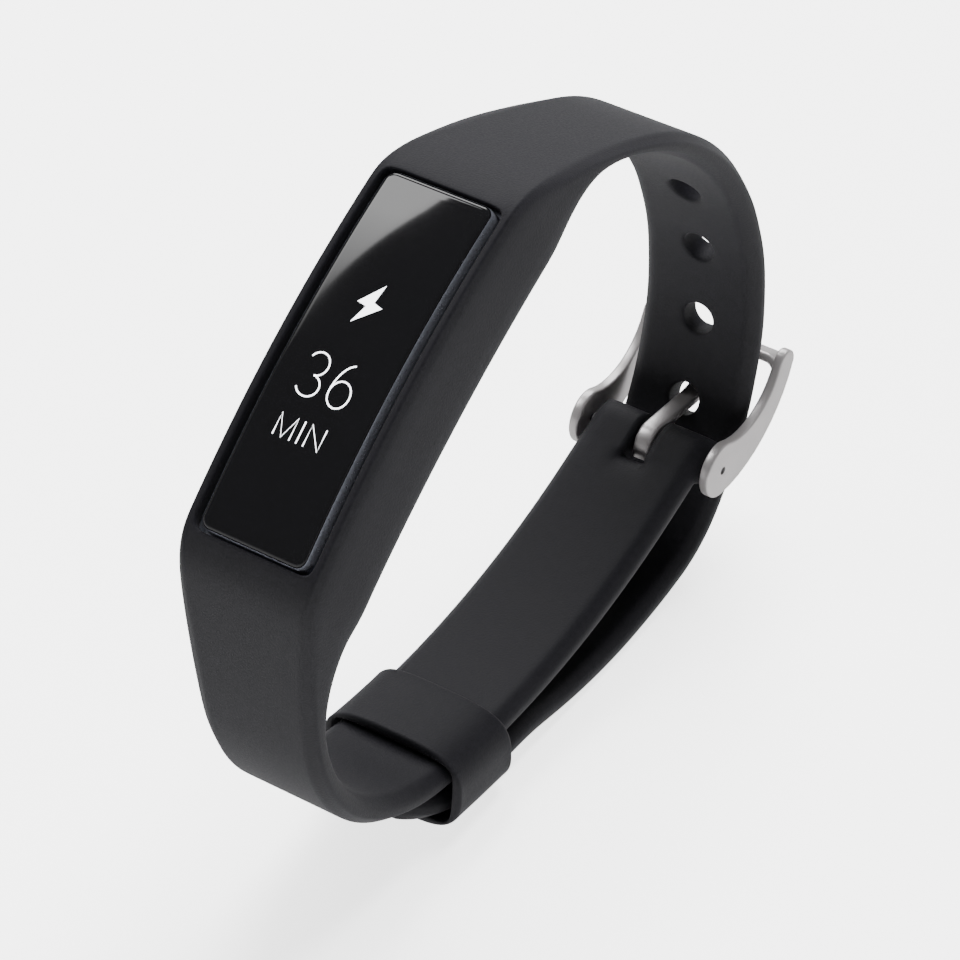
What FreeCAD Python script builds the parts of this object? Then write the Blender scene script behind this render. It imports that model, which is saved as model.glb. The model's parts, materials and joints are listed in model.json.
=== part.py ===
import FreeCAD, Part
import math
import os
import Sketcher
from FreeCAD import Placement, Rotation, Vector

# A fitness tracker band: a one-piece silicone strap whose frame holds a slim curved
# tracker, a loose keeper loop, and a steel pin buckle on a sprung bar.
#
# Everything is laid out in the tracker's own frame and then stood up by one placement:
#   x  along the tracker, towards the strap that has the holes
#   y  across the strap (the wrist's axis)
#   z  out of the glass; the crown of the glass is the origin
# The closed band is a loop in the x-z plane, made of arcs that meet tangentially.

os.makedirs("parts", exist_ok=True)
doc = FreeCAD.newDocument("fitness_tracker_band")
sheet = doc.addObject("Spreadsheet::Sheet", "Sizes")

SIZES = [
    # how the closed band stands
    ("stance_tilt", 33.67), ("stand_left", 25.395), ("stand_height", 59.0175),
    # tracker glass
    ("glass_length", 36.5), ("glass_width", 11.3), ("crown_radius", 115.0),
    ("glass_depth", 2.2), ("glass_corner", 1.0), ("glass_fit", 0.02), ("bezel_drop", 0.25),
    # tracker case: upper part beside the glass, wider flange under the band's lip
    ("case_rim", 0.4), ("end_rim", 0.15), ("flange_overhang", 0.7), ("lip_depth", 3.1), ("lip_gap", 0.1),
    ("case_corner", 1.3),
    ("seal_gap", 0.15), ("ledge_width", 1.1), ("cavity_wall", 1.5), ("end_block", 2.7),
    ("case_depth", 7.85), ("cover_thickness", 1.0),
    # inside the tracker
    ("stack_gap", 0.05), ("panel_corner", 0.4), ("board_corner", 0.7), ("chip_corner", 0.2),
    ("panel_thickness", 1.25), ("panel_clearance", 0.2), ("chassis_thickness", 0.5),
    ("board_thickness", 0.6), ("board_clearance", 0.3),
    ("processor_side", 5.0), ("processor_height", 0.9), ("processor_centre", 6.0),
    ("radio_side", 2.6), ("sensor_length", 2.5), ("sensor_width", 2.0), ("chip_height", 0.8),
    ("chip_centre", 10.85), ("chip_spread", 2.9),
    ("cell_length", 18.0), ("cell_thickness", 2.9), ("cell_corner", 1.2), ("cell_centre", -6.4),
    ("cell_gap", 0.2),
    ("flex_width", 6.0), ("flex_thickness", 0.2), ("flex_foot_length", 2.4), ("flex_inset", 1.5),
    ("flex_slot_width", 1.2), ("flex_gap", 0.2),
    ("antenna_thickness", 0.3), ("antenna_height", 1.8), ("antenna_inset", 0.5),
    ("motor_radius", 1.3), ("motor_length", 5.2), ("motor_wall", 0.25), ("motor_centre", 14.6),
    ("motor_start", -4.6), ("shaft_radius", 0.3), ("shaft_inset", 0.6), ("drum_gap", 0.2),
    ("weight_radius", 1.15), ("weight_length", 2.8), ("weight_gap", 0.3),
    ("contact_stand", 0.05), ("contact_radius", 0.6), ("contact_pitch", 3.0), ("contact_centre", 9.0),
    ("screw_head_radius", 0.8), ("screw_head_height", 0.5), ("screw_radius", 0.45),
    ("screw_length", 2.0), ("screw_spread", 4.2),
    # fits, and how far a cutting tool runs past the face it cuts
    ("running_clearance", 0.05), ("rest_gap", 0.02), ("margin", 0.5),
    # band
    ("strap_width", 13.6), ("strap_thickness", 2.8), ("strap_radius", 31.5),
    ("strap_offset", 7.3), ("crown_drop", 0.3),
    ("frame_width", 18.4), ("frame_top_width", 15.0), ("frame_depth", 9.2),
    ("skin_radius", 150.0), ("skin_up", 22.0), ("skin_down", 17.0),
    ("skin_bend_radius", 12.0), ("skin_bend_up", 45.0), ("skin_bend_down", 35.0),
    ("shoulder_radius", 5.0), ("shoulder_up", 38.0), ("shoulder_down", 46.0),
    ("window_gap", 0.45), ("end_gap", 0.2), ("pocket_gap", 0.2),
    # where the frame stops being full width beyond the window, and how it narrows
    ("flare_low_start", 1.5), ("flare_low_middle", 7.5), ("flare_low_end", 13.0),
    ("flare_low_share", 0.25), ("flare_high_start", 2.0), ("flare_high_middle", 9.5),
    ("flare_high_end", 17.0), ("flare_high_share", 0.4),
    # strap under the wrist: base arc, heel corner, boss for the spring bar
    ("pin_inset", 4.2), ("pin_angle", -66.5), ("base_radius", 80.0), ("base_angle", -97.1),
    ("heel_radius", 22.3), ("heel_angle", -131.2), ("boss_radius", 2.6),
    ("notch_width", 2.7), ("notch_radius", 2.9),
    # free end of the strap
    ("tail_bend_angle", -75.6), ("tail_bend_radius", 14.0), ("tail_bend_turn", 34.0),
    ("tail_sag_radius", 60.0), ("tail_rise_radius", 25.0), ("tail_gap", 0.95),
    ("tail_tip_angle", -132.6), ("tail_tip_round", 5.5),
    ("hole_radius", 1.75), ("hole_pitch", 9.2), ("pinned_hole_angle", -58.0),
    ("strap_holes", 4), ("tail_holes", 2), ("tail_hole_start", 2.3),
    # keeper loop
    ("keeper_angle", -127.6), ("keeper_length", 9.2), ("keeper_wall", 1.15),
    ("keeper_side_gap", 0.25), ("keeper_slack", 0.2), ("keeper_round", 0.5),
    # buckle
    ("arm_gap", 0.6), ("arm_thickness", 1.1), ("arm_end_radius", 3.0),
    ("arm_heel_start", 37.4), ("arm_heel_end", 232.4), ("arm_nose_start", -57.6),
    ("arm_bulge_low", 2.6), ("arm_bulge_high", 2.3),
    ("bar_radius", 1.35), ("bar_standoff", 0.85), ("bar_angle", -47.9),
    ("tongue_width", 2.0), ("tongue_thickness", 1.0), ("tongue_ring", 0.8),
    ("tongue_tip", 1.6), ("tongue_rise", 1.95), ("tongue_lead", 0.9), ("tongue_crest", 0.1),
    ("tube_radius", 0.75), ("tube_wall", 0.2), ("tube_overhang", 0.3),
    ("crimp_length", 0.3), ("tip_radius", 0.4), ("tip_recess", 0.2), ("tip_flange", 0.6),
    ("wire_radius", 0.08), ("spring_turns", 12),
]
for row, (alias, value) in enumerate(SIZES, start=1):
    sheet.set("A%d" % row, alias)
    sheet.set("B%d" % row, str(value))
    sheet.setAlias("B%d" % row, alias)
doc.recompute()


def size(alias):
    """The value of one cell of the size sheet."""
    return float(sheet.get(alias))


MARGIN = size("margin")
NEAR = 0.01
ALIGNED = 0.99


# ---------------------------------------------------------------- plane geometry helpers
def direction(degrees):
    angle = math.radians(degrees)
    return Vector(math.cos(angle), 0, math.sin(angle))


def polar(centre, radius, degrees):
    return centre + direction(degrees) * radius


def angle_of(vector):
    return math.degrees(math.atan2(vector.z, vector.x))


def arc(centre, radius, start, end):
    """Edge of a circle in the x-z plane, from one polar angle to another."""
    middle = (start + end) / 2.0
    points = [polar(centre, radius, a) for a in (start, middle, end)]
    return Part.Arc(*points).toShape()


def unwind(degrees, reference):
    """The same direction, within half a turn of a reference angle."""
    return degrees + 360.0 * round((reference - degrees) / 360.0)


def prism(edges, low, high):
    """Solid between two values of y whose outline is a closed run of edges."""
    face = Part.Face(Part.Wire(Part.__sortEdges__(edges)))
    face.translate(Vector(0, low, 0))
    return face.extrude(Vector(0, high - low, 0))


def rod(centre, radius, low, high):
    """Cylinder across the strap, between two values of y."""
    return Part.makeCylinder(radius, high - low, Vector(centre.x, low, centre.z), Vector(0, 1, 0))


def upright_edges(shape):
    """Numbers, from zero, of the edges that stand square to the glass."""
    return [i for i, e in enumerate(shape.Edges)
            if abs(e.tangentAt(e.FirstParameter).z) > ALIGNED]


def cross(centre_a, radius_a, centre_b, radius_b, side):
    """Crossing point of two circles; side +1 or -1 picks one of the two."""
    gap = centre_b - centre_a
    along = (radius_a ** 2 - radius_b ** 2 + gap.Length ** 2) / (2.0 * gap.Length)
    away = math.sqrt(radius_a ** 2 - along ** 2)
    unit = gap * (1.0 / gap.Length)
    return centre_a + unit * along + Vector(-unit.z, 0, unit.x) * (away * side)


# ---------------------------------------------------------------- the loop's centres
thickness = size("strap_thickness")
half_strap = size("strap_width") / 2.0
strap_inner = size("strap_radius")
strap_outer = strap_inner + thickness
strap_centre = Vector(size("strap_offset"), 0,
                      -size("frame_depth") - size("crown_drop") - strap_inner)

pin_centre = polar(strap_centre, strap_inner - size("pin_inset"), size("pin_angle"))
base_inner = size("base_radius")
base_outer = base_inner + thickness
pin_reach = base_inner + size("boss_radius")
base_centre = pin_centre - direction(size("base_angle")) * pin_reach

heel_outer = size("heel_radius")
heel_centre = polar(base_centre, base_outer - heel_outer, size("heel_angle"))

tail_outer = base_outer + size("tail_gap") + thickness
bend_outer = size("tail_bend_radius")
bend_start = size("tail_bend_angle")
bend_end = bend_start - size("tail_bend_turn")
bend_centre = polar(strap_centre, strap_outer - bend_outer, bend_start)
sag_outer = size("tail_sag_radius")
sag_centre = polar(bend_centre, bend_outer - sag_outer, bend_end)
rise_outer = size("tail_rise_radius")
rise_centre = cross(sag_centre, sag_outer + rise_outer, base_centre, tail_outer + rise_outer, 1)
rise_to_sag = angle_of(sag_centre - rise_centre)
rise_to_base = unwind(angle_of(base_centre - rise_centre), rise_to_sag)
sag_low = unwind(rise_to_sag + 180.0, bend_end)
tail_merge = unwind(rise_to_base + 180.0, size("tail_tip_angle"))


def run_off(centre, radius, reach, bend_radius, turn, side, target, target_radius):
    """How one end of the frame meets the strap: the frame's arc ends at reach from the
    middle, a tight arc turns down, and a long arc runs tangentially onto the strap's circle.
    Returns the two edges, the angle where the frame's arc ends and the one on the strap."""
    frame_end = 90.0 - side * math.degrees(reach / radius)
    bend_stop = frame_end - side * turn
    bend_middle = polar(centre, radius - bend_radius, frame_end)
    start = polar(bend_middle, bend_radius, bend_stop)
    inward = direction(bend_stop) * -1.0
    offset = start - target
    blend = (target_radius ** 2 - offset.Length ** 2) / (2.0 * (offset.dot(inward) + target_radius))
    blend_centre = start + inward * blend
    landing = unwind(angle_of((target - blend_centre) * (blend - target_radius)), bend_stop)
    edges = [arc(bend_middle, bend_radius, frame_end, bend_stop),
             arc(blend_centre, blend, bend_stop, landing)]
    return edges, frame_end, landing


# ---------------------------------------------------------------- band profile
window_half = size("glass_length") / 2.0 + size("end_rim") + size("end_gap")
crown = size("crown_radius") - size("crown_drop")
crown_centre = Vector(0, 0, -size("crown_radius"))
skin = size("skin_radius")
skin_centre = Vector(0, 0, -size("frame_depth") - skin)


def tail_arcs(inset):
    """The free end, from its tip to the strap's arc, at a distance inside the outer face."""
    return [arc(base_centre, tail_outer - inset, size("tail_tip_angle"), tail_merge),
            arc(rise_centre, rise_outer + inset, rise_to_base, rise_to_sag),
            arc(sag_centre, sag_outer - inset, sag_low, bend_end),
            arc(bend_centre, bend_outer - inset, bend_end, bend_start)]


def band_profile():
    """Closed outline of the band seen from the side."""
    shoulder = size("shoulder_radius")
    upper, crown_up, strap_top = run_off(crown_centre, crown, window_half, shoulder,
                                         size("shoulder_up"), 1, strap_centre, strap_outer)
    lower, crown_down, heel_top = run_off(crown_centre, crown, window_half, shoulder,
                                          size("shoulder_down"), -1, heel_centre, heel_outer)
    bend = size("skin_bend_radius")
    inner_up, skin_up, strap_in = run_off(skin_centre, skin, size("skin_up"), bend,
                                          size("skin_bend_up"), 1, strap_centre, strap_inner)
    heel_inner = heel_outer - thickness
    inner_down, skin_down, heel_in = run_off(skin_centre, skin, size("skin_down"), bend,
                                             size("skin_bend_down"), -1, heel_centre, heel_inner)
    heel_low = unwind(size("heel_angle"), 180.0)
    boss = size("boss_radius")
    boss_meet = cross(base_centre, base_outer, pin_centre, boss, -1)
    meet_angle = unwind(angle_of(boss_meet - base_centre), size("base_angle"))
    boss_top = size("base_angle") + 180.0
    boss_low = unwind(angle_of(boss_meet - pin_centre), boss_top - 180.0)
    edges = tail_arcs(0.0) + upper + lower
    edges += [arc(strap_centre, strap_outer, bend_start, strap_top),
              arc(crown_centre, crown, crown_up, crown_down),
              arc(heel_centre, heel_outer, heel_top, heel_low),
              arc(base_centre, base_outer, size("heel_angle"), meet_angle),
              arc(pin_centre, boss, boss_low, boss_top),
              arc(base_centre, base_inner, size("heel_angle"), size("base_angle")),
              arc(heel_centre, heel_inner, heel_in, heel_low),
              arc(skin_centre, skin, skin_up, skin_down),
              arc(strap_centre, strap_inner, bend_start, strap_in)]
    edges += inner_up + inner_down + tail_arcs(thickness)
    tip = size("tail_tip_angle")
    ends = [polar(base_centre, tail_outer - inset, tip) for inset in (0.0, thickness)]
    edges.append(Part.LineSegment(*ends).toShape())
    return edges


# ---------------------------------------------------------------- document helpers
STANCE = Placement(Vector(size("stand_left") * -1.0, 0, size("stand_height")),
                   Rotation(Vector(0, 1, 0), -size("stance_tilt")))
nodes = []


def node(obj, label):
    """Register an object as one piece of the product."""
    obj.Label = label
    nodes.append(obj)
    return obj


def made(shape, label):
    """A piece whose curved shape no sketch or primitive describes."""
    feature = doc.addObject("Part::Feature", label)
    feature.Shape = shape
    feature.Placement = STANCE.multiply(shape.Placement)
    return node(feature, label)


def plate(name, length, width, height, base, corner=None, x="0", y="0"):
    """Flat rounded block parallel to the glass. Every argument but name is an expression;
    base is the height of its lower face, and x and y place its middle."""
    body = doc.addObject("PartDesign::Body", name)
    sketch = body.newObject("Sketcher::SketchObject", name + "_outline")
    ground = [f for f in body.Origin.OriginFeatures if f.Role == "XY_Plane"][0]
    sketch.AttachmentSupport = [(ground, "")]
    sketch.MapMode = "FlatFace"
    sketch.setExpression("AttachmentOffset.Base.x", x)
    sketch.setExpression("AttachmentOffset.Base.y", y)
    sketch.setExpression("AttachmentOffset.Base.z", base)
    corners = [Vector(-2, -1, 0), Vector(2, -1, 0), Vector(2, 1, 0), Vector(-2, 1, 0)]
    for i in range(4):
        sketch.addGeometry(Part.LineSegment(corners[i], corners[(i + 1) % 4]), False)
    for i in range(4):
        sketch.addConstraint(Sketcher.Constraint("Coincident", i, 2, (i + 1) % 4, 1))
    for i, kind in enumerate(["Horizontal", "Vertical", "Horizontal", "Vertical"]):
        sketch.addConstraint(Sketcher.Constraint(kind, i))
    sketch.addConstraint(Sketcher.Constraint("Symmetric", 0, 1, 1, 2, -1, 1))
    long_side = sketch.addConstraint(Sketcher.Constraint("DistanceX", 0, 1, 0, 2, 4.0))
    sketch.setExpression("Constraints[%d]" % long_side, length)
    short_side = sketch.addConstraint(Sketcher.Constraint("DistanceY", 1, 1, 1, 2, 2.0))
    sketch.setExpression("Constraints[%d]" % short_side, width)
    pad = body.newObject("PartDesign::Pad", name + "_pad")
    pad.Profile = sketch
    pad.setExpression("Length", height)
    doc.recompute()
    if corner:
        upright = ["Edge%d" % (i + 1) for i in upright_edges(pad.Shape)]
        fillet = body.newObject("PartDesign::Fillet", name + "_corners")
        fillet.Base = (pad, upright)
        fillet.setExpression("Radius", corner)
        body.Tip = fillet
    body.Placement = STANCE
    return body


def pillar(name, radius, height, base, x, y, across=False):
    """Round bar standing on the board plane, or lying across the strap from y = base."""
    bar = doc.addObject("Part::Cylinder", name)
    bar.setExpression("Radius", radius)
    bar.setExpression("Height", height)
    if across:
        local = Placement(Vector(x, base, y), Rotation(Vector(1, 0, 0), -90))
    else:
        local = Placement(Vector(x, y, base), Rotation())
    bar.Placement = STANCE.multiply(local)
    return bar


def cut(name, base, tools):
    """Base with one or more tools taken out of it."""
    for i, tool in enumerate(tools):
        step = doc.addObject("Part::Cut", "%s_cut%d" % (name, i))
        step.Base = base
        step.Tool = tool
        base = step
    return base


def join(name, shapes):
    fused = doc.addObject("Part::MultiFuse", name + "_joined")
    fused.Shapes = shapes
    return fused


def group(name, shapes):
    """Identical separate pieces kept together in one node."""
    bundle = doc.addObject("Part::Compound", name + "_set")
    bundle.Links = shapes
    return bundle


# ---------------------------------------------------------------- silicone band
def frame_envelope():
    """Widened block round the tracker: widest at the wrist side, narrower at the top,
    and tapering to the strap's width at both ends."""
    full = size("frame_width") / 2.0
    top = size("frame_top_width") / 2.0
    low, high = -window_half, window_half
    stations = [(low - size("flare_low_end"), 0.0),
                (low - size("flare_low_middle"), size("flare_low_share")),
                (low - size("flare_low_start"), 1.0),
                (high + size("flare_high_start"), 1.0),
                (high + size("flare_high_middle"), size("flare_high_share")),
                (high + size("flare_high_end"), 0.0)]

    def outline(half, z):
        side = [Vector(x, half_strap + share * (half - half_strap), z) for x, share in stations]
        mirror = [Vector(p.x, -p.y, z) for p in reversed(side)]
        return Part.makePolygon(side + mirror + [side[0]])

    wide = outline(full, -size("frame_depth"))
    narrow = outline(top, 0.0)
    deep = Part.Face(wide).extrude(Vector(0, 0, -2.0 * size("frame_depth")))
    high = Part.Face(narrow).extrude(Vector(0, 0, size("strap_thickness")))
    return deep.fuse([Part.makeLoft([wide, narrow], True, True), high]).removeSplitter()


def hole_cutters():
    """The row of sizing holes, square to the strap: along its arc and down its free end."""
    radius = size("hole_radius")
    pitch = size("hole_pitch")
    reach = thickness + 2.0 * MARGIN
    cutters = []
    for i in range(int(size("strap_holes"))):
        angle = size("pinned_hole_angle") + math.degrees(i * pitch / strap_inner)
        start = polar(strap_centre, strap_inner - MARGIN, angle)
        cutters.append(Part.makeCylinder(radius, reach, start, direction(angle)))
    for i in range(int(size("tail_holes"))):
        run = size("tail_hole_start") + i * pitch
        angle = bend_end - math.degrees(run / sag_outer)
        start = polar(sag_centre, sag_outer - thickness - MARGIN, angle)
        cutters.append(Part.makeCylinder(radius, reach, start, direction(angle)))
    return cutters


def tracker_pocket():
    """Window for the glass and the wider pocket under its lip, open towards the wrist."""
    length = 2.0 * window_half
    width = size("glass_width") + 2.0 * size("case_rim") + 2.0 * size("window_gap")
    lip = -size("lip_depth")
    window = Part.makeBox(length, width, size("lip_depth") + thickness,
                          Vector(-length / 2.0, -width / 2.0, lip))
    step = size("flange_overhang") + size("pocket_gap")
    deep_length = length + 2.0 * (step - size("end_gap"))
    deep_width = width + 2.0 * (step - size("window_gap"))
    depth = size("frame_depth") + thickness
    pocket = Part.makeBox(deep_length, deep_width, depth,
                          Vector(-deep_length / 2.0, -deep_width / 2.0, lip - depth))
    corner = size("case_corner") + size("end_gap")
    rounded = [box.makeFillet(corner, [box.Edges[i] for i in upright_edges(box)])
               for box in (window, pocket)]
    return rounded[0].fuse(rounded[1])


def silicone_band():
    profile = band_profile()
    full = size("frame_width") / 2.0
    strap = prism(profile, -half_strap, half_strap)
    frame = prism(profile, -full, full).common(frame_envelope())
    band = strap.fuse(frame)
    notch = size("notch_width") / 2.0
    tools = [tracker_pocket(), rod(pin_centre, size("notch_radius"), -notch, notch),
             rod(pin_centre, size("tube_radius") + size("rest_gap"), -full, full)]
    band = band.cut(tools + hole_cutters())
    tip = polar(base_centre, tail_outer - thickness / 2.0, size("tail_tip_angle"))
    tip_edges = [e for e in band.Edges if abs(e.Length - thickness) < NEAR
                 and (e.CenterOfMass - tip).Length < half_strap + NEAR]
    return band.makeFillet(size("tail_tip_round"), tip_edges).removeSplitter()


def keeper_loop():
    """Loop round both layers of strap, curved to slide along the base arc."""
    slack = size("keeper_slack")
    wall = size("keeper_wall")
    inner = base_inner - slack
    outer = tail_outer + slack
    half_turn = math.degrees(size("keeper_length") / 2.0 / base_outer)
    start = size("keeper_angle") - half_turn

    def section(low, high, half, edge):
        corners = [Vector(low, -half, 0), Vector(high, -half, 0),
                   Vector(high, half, 0), Vector(low, half, 0)]
        solid = Part.Face(Part.makePolygon(corners + [corners[0]]))
        solid.rotate(Vector(0, 0, 0), Vector(0, 1, 0), -start)
        solid.translate(base_centre)
        solid = solid.revolve(base_centre, Vector(0, -1, 0), 2.0 * half_turn)
        along = [e for e in solid.Edges if e.Curve.TypeId == "Part::GeomCircle"]
        return solid.makeFillet(edge, along)

    hollow = half_strap + size("keeper_side_gap")
    block = section(inner - wall, outer + wall, hollow + wall, size("keeper_round") + wall)
    return block.cut(section(inner, outer, hollow, size("keeper_round")))


made(silicone_band(), "silicone_band")
made(keeper_loop(), "keeper_loop")


# ---------------------------------------------------------------- pin buckle
arm_inner = half_strap + size("arm_gap")
arm_outer = arm_inner + size("arm_thickness")
bar_radius = size("bar_radius")
bar_centre = polar(strap_centre, strap_outer + size("bar_standoff") + bar_radius,
                   size("bar_angle"))


def bowed(start, end, bulge):
    """Arc between two points that bows to the right of its direction."""
    chord = end - start
    right = Vector(chord.z, 0, -chord.x).normalize()
    return Part.Arc(start, (start + end) * 0.5 + right * bulge, end).toShape()


def buckle_frame():
    """Two tapered side arms and the bar that joins them outside the strap."""
    end = size("arm_end_radius")
    heel = size("arm_heel_start"), size("arm_heel_end")
    nose = size("arm_nose_start"), size("arm_nose_start") + 180.0
    high_pin, low_pin = [polar(pin_centre, end, angle) for angle in heel]
    low_bar, high_bar = [polar(bar_centre, bar_radius, angle) for angle in nose]
    outline = [bowed(low_pin, low_bar, size("arm_bulge_low")),
               bowed(high_pin, high_bar, size("arm_bulge_high")),
               arc(bar_centre, bar_radius, *nose), arc(pin_centre, end, *heel)]
    arms = [prism(outline, arm_inner, arm_outer), prism(outline, -arm_outer, -arm_inner)]
    frame = rod(bar_centre, bar_radius, -arm_outer, arm_outer).fuse(arms)
    hole = size("tip_radius") + size("running_clearance")
    bore = rod(pin_centre, hole, -arm_outer - MARGIN, arm_outer + MARGIN)
    return frame.cut(bore).removeSplitter()


def buckle_tongue():
    """Ring on the spring bar and a cranked prong through the pinned hole, whose tip rests
    on the outside of the frame's bar."""
    half = size("tongue_width") / 2.0
    half_thick = size("tongue_thickness") / 2.0
    bore = size("tube_radius") + size("running_clearance")
    ring = rod(pin_centre, bore + size("tongue_ring"), -half, half)
    crank = polar(strap_centre, strap_outer + size("tongue_crest"),
                  size("pinned_hole_angle") + size("tongue_lead"))
    lean = (crank - pin_centre).normalize()
    heel = pin_centre + Vector(-lean.z, 0, lean.x) * size("tongue_rise")
    reach = bar_centre - crank
    clear = bar_radius + half_thick + size("rest_gap")
    slope = angle_of(reach) - math.degrees(math.asin(clear / reach.Length))
    tip = polar(crank, math.sqrt(reach.Length ** 2 - clear ** 2) + size("tongue_tip"), slope)
    first = (crank - heel).normalize()
    second = (tip - crank).normalize()
    side = [Vector(-d.z, 0, d.x) for d in (first, second)]
    mitre = (side[0] + side[1]).normalize() * (half_thick / math.cos(
        math.radians(slope - angle_of(first)) / 2.0))
    upper = [heel + side[0] * half_thick, crank + mitre, tip + side[1] * half_thick]
    lower = [tip - side[1] * half_thick, crank - mitre, heel - side[0] * half_thick]
    loop = upper + lower
    edges = [Part.LineSegment(a, b).toShape() for a, b in zip(loop, loop[1:] + loop[:1])]
    prong = prism(edges, -half, half)
    solid = ring.fuse(prong).cut(rod(pin_centre, bore, -half - MARGIN, half + MARGIN))
    return solid.removeSplitter()


tube_half = half_strap + size("tube_overhang")
tube_bore = size("tube_radius") - size("tube_wall")
crimp_bore = size("tip_radius") + size("running_clearance")
chamber_half = tube_half - size("crimp_length")


def spring_bar_tube():
    tube = rod(pin_centre, size("tube_radius"), -tube_half, tube_half)
    chamber = rod(pin_centre, tube_bore, -chamber_half, chamber_half)
    ends = rod(pin_centre, crimp_bore, -tube_half - MARGIN, tube_half + MARGIN)
    return tube.cut([chamber, ends])


flange_face = chamber_half - size("rest_gap")
flange_back = flange_face - size("tip_flange")


def spring_bar_tip(side):
    """Stepped pin: a flange held by the tube's crimped end and a shank into the arm."""
    ends = sorted([side * flange_back, side * flange_face])
    flange = rod(pin_centre, tube_bore - size("running_clearance"), *ends)
    ends = sorted([side * flange_face, side * (arm_outer - size("tip_recess"))])
    return flange.fuse(rod(pin_centre, size("tip_radius"), *ends)).removeSplitter()


def spring_bar_coil():
    """Compression spring between the two flanges."""
    wire = size("wire_radius")
    coil = tube_bore - size("running_clearance") - wire
    length = 2.0 * (flange_back - wire - size("rest_gap"))
    helix = Part.makeHelix(length / size("spring_turns"), length, coil)
    start = Vector(coil, 0, 0)
    section = Part.Wire(Part.makeCircle(wire, start, Vector(0, 1, 0)))
    solid = Part.Wire(helix).makePipeShell([section], True, True)
    solid.rotate(Vector(0, 0, 0), Vector(1, 0, 0), -90)
    solid.translate(Vector(pin_centre.x, -length / 2.0, pin_centre.z))
    return solid


made(buckle_frame(), "buckle_frame")
made(buckle_tongue(), "buckle_tongue")
made(spring_bar_tube(), "spring_bar_tube")
made(spring_bar_tip(-1), "spring_bar_tip_near")
made(spring_bar_tip(1), "spring_bar_tip_far")
made(spring_bar_coil(), "spring_bar_spring")


# ---------------------------------------------------------------- tracker: shell
GLASS_L, GLASS_W = "Sizes.glass_length", "Sizes.glass_width"
RIM_L = "Sizes.glass_length + 2 * Sizes.end_rim"
RIM_W = "Sizes.glass_width + 2 * Sizes.case_rim"
FLANGE_L = RIM_L + " + 2 * Sizes.flange_overhang"
FLANGE_W = RIM_W + " + 2 * Sizes.flange_overhang"
BORE_L = GLASS_L + " - 2 * Sizes.ledge_width"
BORE_W = GLASS_W + " - 2 * Sizes.ledge_width"
CAVITY_L = FLANGE_L + " - 2 * Sizes.end_block"
CAVITY_W = FLANGE_W + " - 2 * Sizes.cavity_wall"
SEAT = "-Sizes.glass_depth - Sizes.seal_gap"
PANEL_BASE = "-Sizes.glass_depth - Sizes.stack_gap - Sizes.panel_thickness"
CAVITY_TOP = PANEL_BASE + " - Sizes.stack_gap"
CHASSIS_BASE = CAVITY_TOP + " - Sizes.chassis_thickness"
BOARD_BASE = CHASSIS_BASE + " - Sizes.board_thickness"
CASE_FLOOR = "-Sizes.case_depth"
COVER_TOP = CASE_FLOOR + " - Sizes.seal_gap"
COVER_BASE = COVER_TOP + " - Sizes.cover_thickness"

panel_base = -size("glass_depth") - size("stack_gap") - size("panel_thickness")
board_base = (panel_base - size("stack_gap") - size("chassis_thickness")
              - size("board_thickness"))
case_floor = -size("case_depth")
cover_base = case_floor - size("seal_gap") - size("cover_thickness")
flange_half = size("glass_length") / 2.0 + size("end_rim") + size("flange_overhang")


def crown_drum(name, drop):
    """Large drum whose side is the crown of the tracker, lowered by drop."""
    drum = pillar(name, "Sizes.crown_radius - %s" % drop, "4 * Sizes.glass_width",
                  -2.0 * size("glass_width"), 0.0, -size("crown_radius"), across=True)
    return drum


def crowned(name, blank, drop):
    common = doc.addObject("Part::Common", name + "_crowned")
    common.Base = blank
    common.Tool = crown_drum(name + "_drum", drop)
    return common


def screw_places():
    across = size("screw_spread")
    along = flange_half - size("end_block") / 2.0
    return [(x, y) for x in (-along, along) for y in (-across, across)]


def contact_places():
    pitch = size("contact_pitch")
    return [(size("contact_centre"), y) for y in (-pitch, 0.0, pitch)]


lens = plate("lens_blank", GLASS_L, GLASS_W, "Sizes.glass_depth", "-Sizes.glass_depth",
             "Sizes.glass_corner")
node(crowned("lens", lens, "0"), "cover_lens")

seal = plate("lens_seal_blank", GLASS_L, GLASS_W, "Sizes.seal_gap", SEAT, "Sizes.glass_corner")
seal_hole = plate("lens_seal_hole", BORE_L, BORE_W, "Sizes.case_depth", SEAT + " - Sizes.margin",
                  "Sizes.glass_corner")
node(cut("lens_seal", seal, [seal_hole]), "lens_seal")

upper = plate("case_upper", RIM_L, RIM_W, "Sizes.case_depth", CASE_FLOOR, "Sizes.case_corner")
flange = plate("case_flange", FLANGE_L, FLANGE_W,
               "Sizes.case_depth - Sizes.lip_depth - Sizes.lip_gap", CASE_FLOOR,
               "Sizes.case_corner")
shell = crowned("case", join("case_shell", [upper, flange]), "Sizes.bezel_drop")
glass_seat = plate("case_seat", GLASS_L + " + 2 * Sizes.glass_fit",
                   GLASS_W + " + 2 * Sizes.glass_fit", "Sizes.case_depth", SEAT,
                   "Sizes.glass_corner")
panel_bay = plate("case_panel_bay", BORE_L, BORE_W, "Sizes.case_depth",
                  CAVITY_TOP + " - Sizes.margin", "Sizes.glass_corner")
cavity = plate("case_cavity", CAVITY_L, CAVITY_W,
               CAVITY_TOP + " + Sizes.case_depth + Sizes.margin", CASE_FLOOR + " - Sizes.margin",
               "Sizes.glass_corner")
case_threads = [pillar("case_thread%d" % i, "Sizes.screw_radius",
                       "Sizes.screw_length + Sizes.margin", case_floor - MARGIN, x, y)
                for i, (x, y) in enumerate(screw_places())]
node(cut("case", shell, [glass_seat, panel_bay, cavity] + case_threads), "tracker_case")

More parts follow.
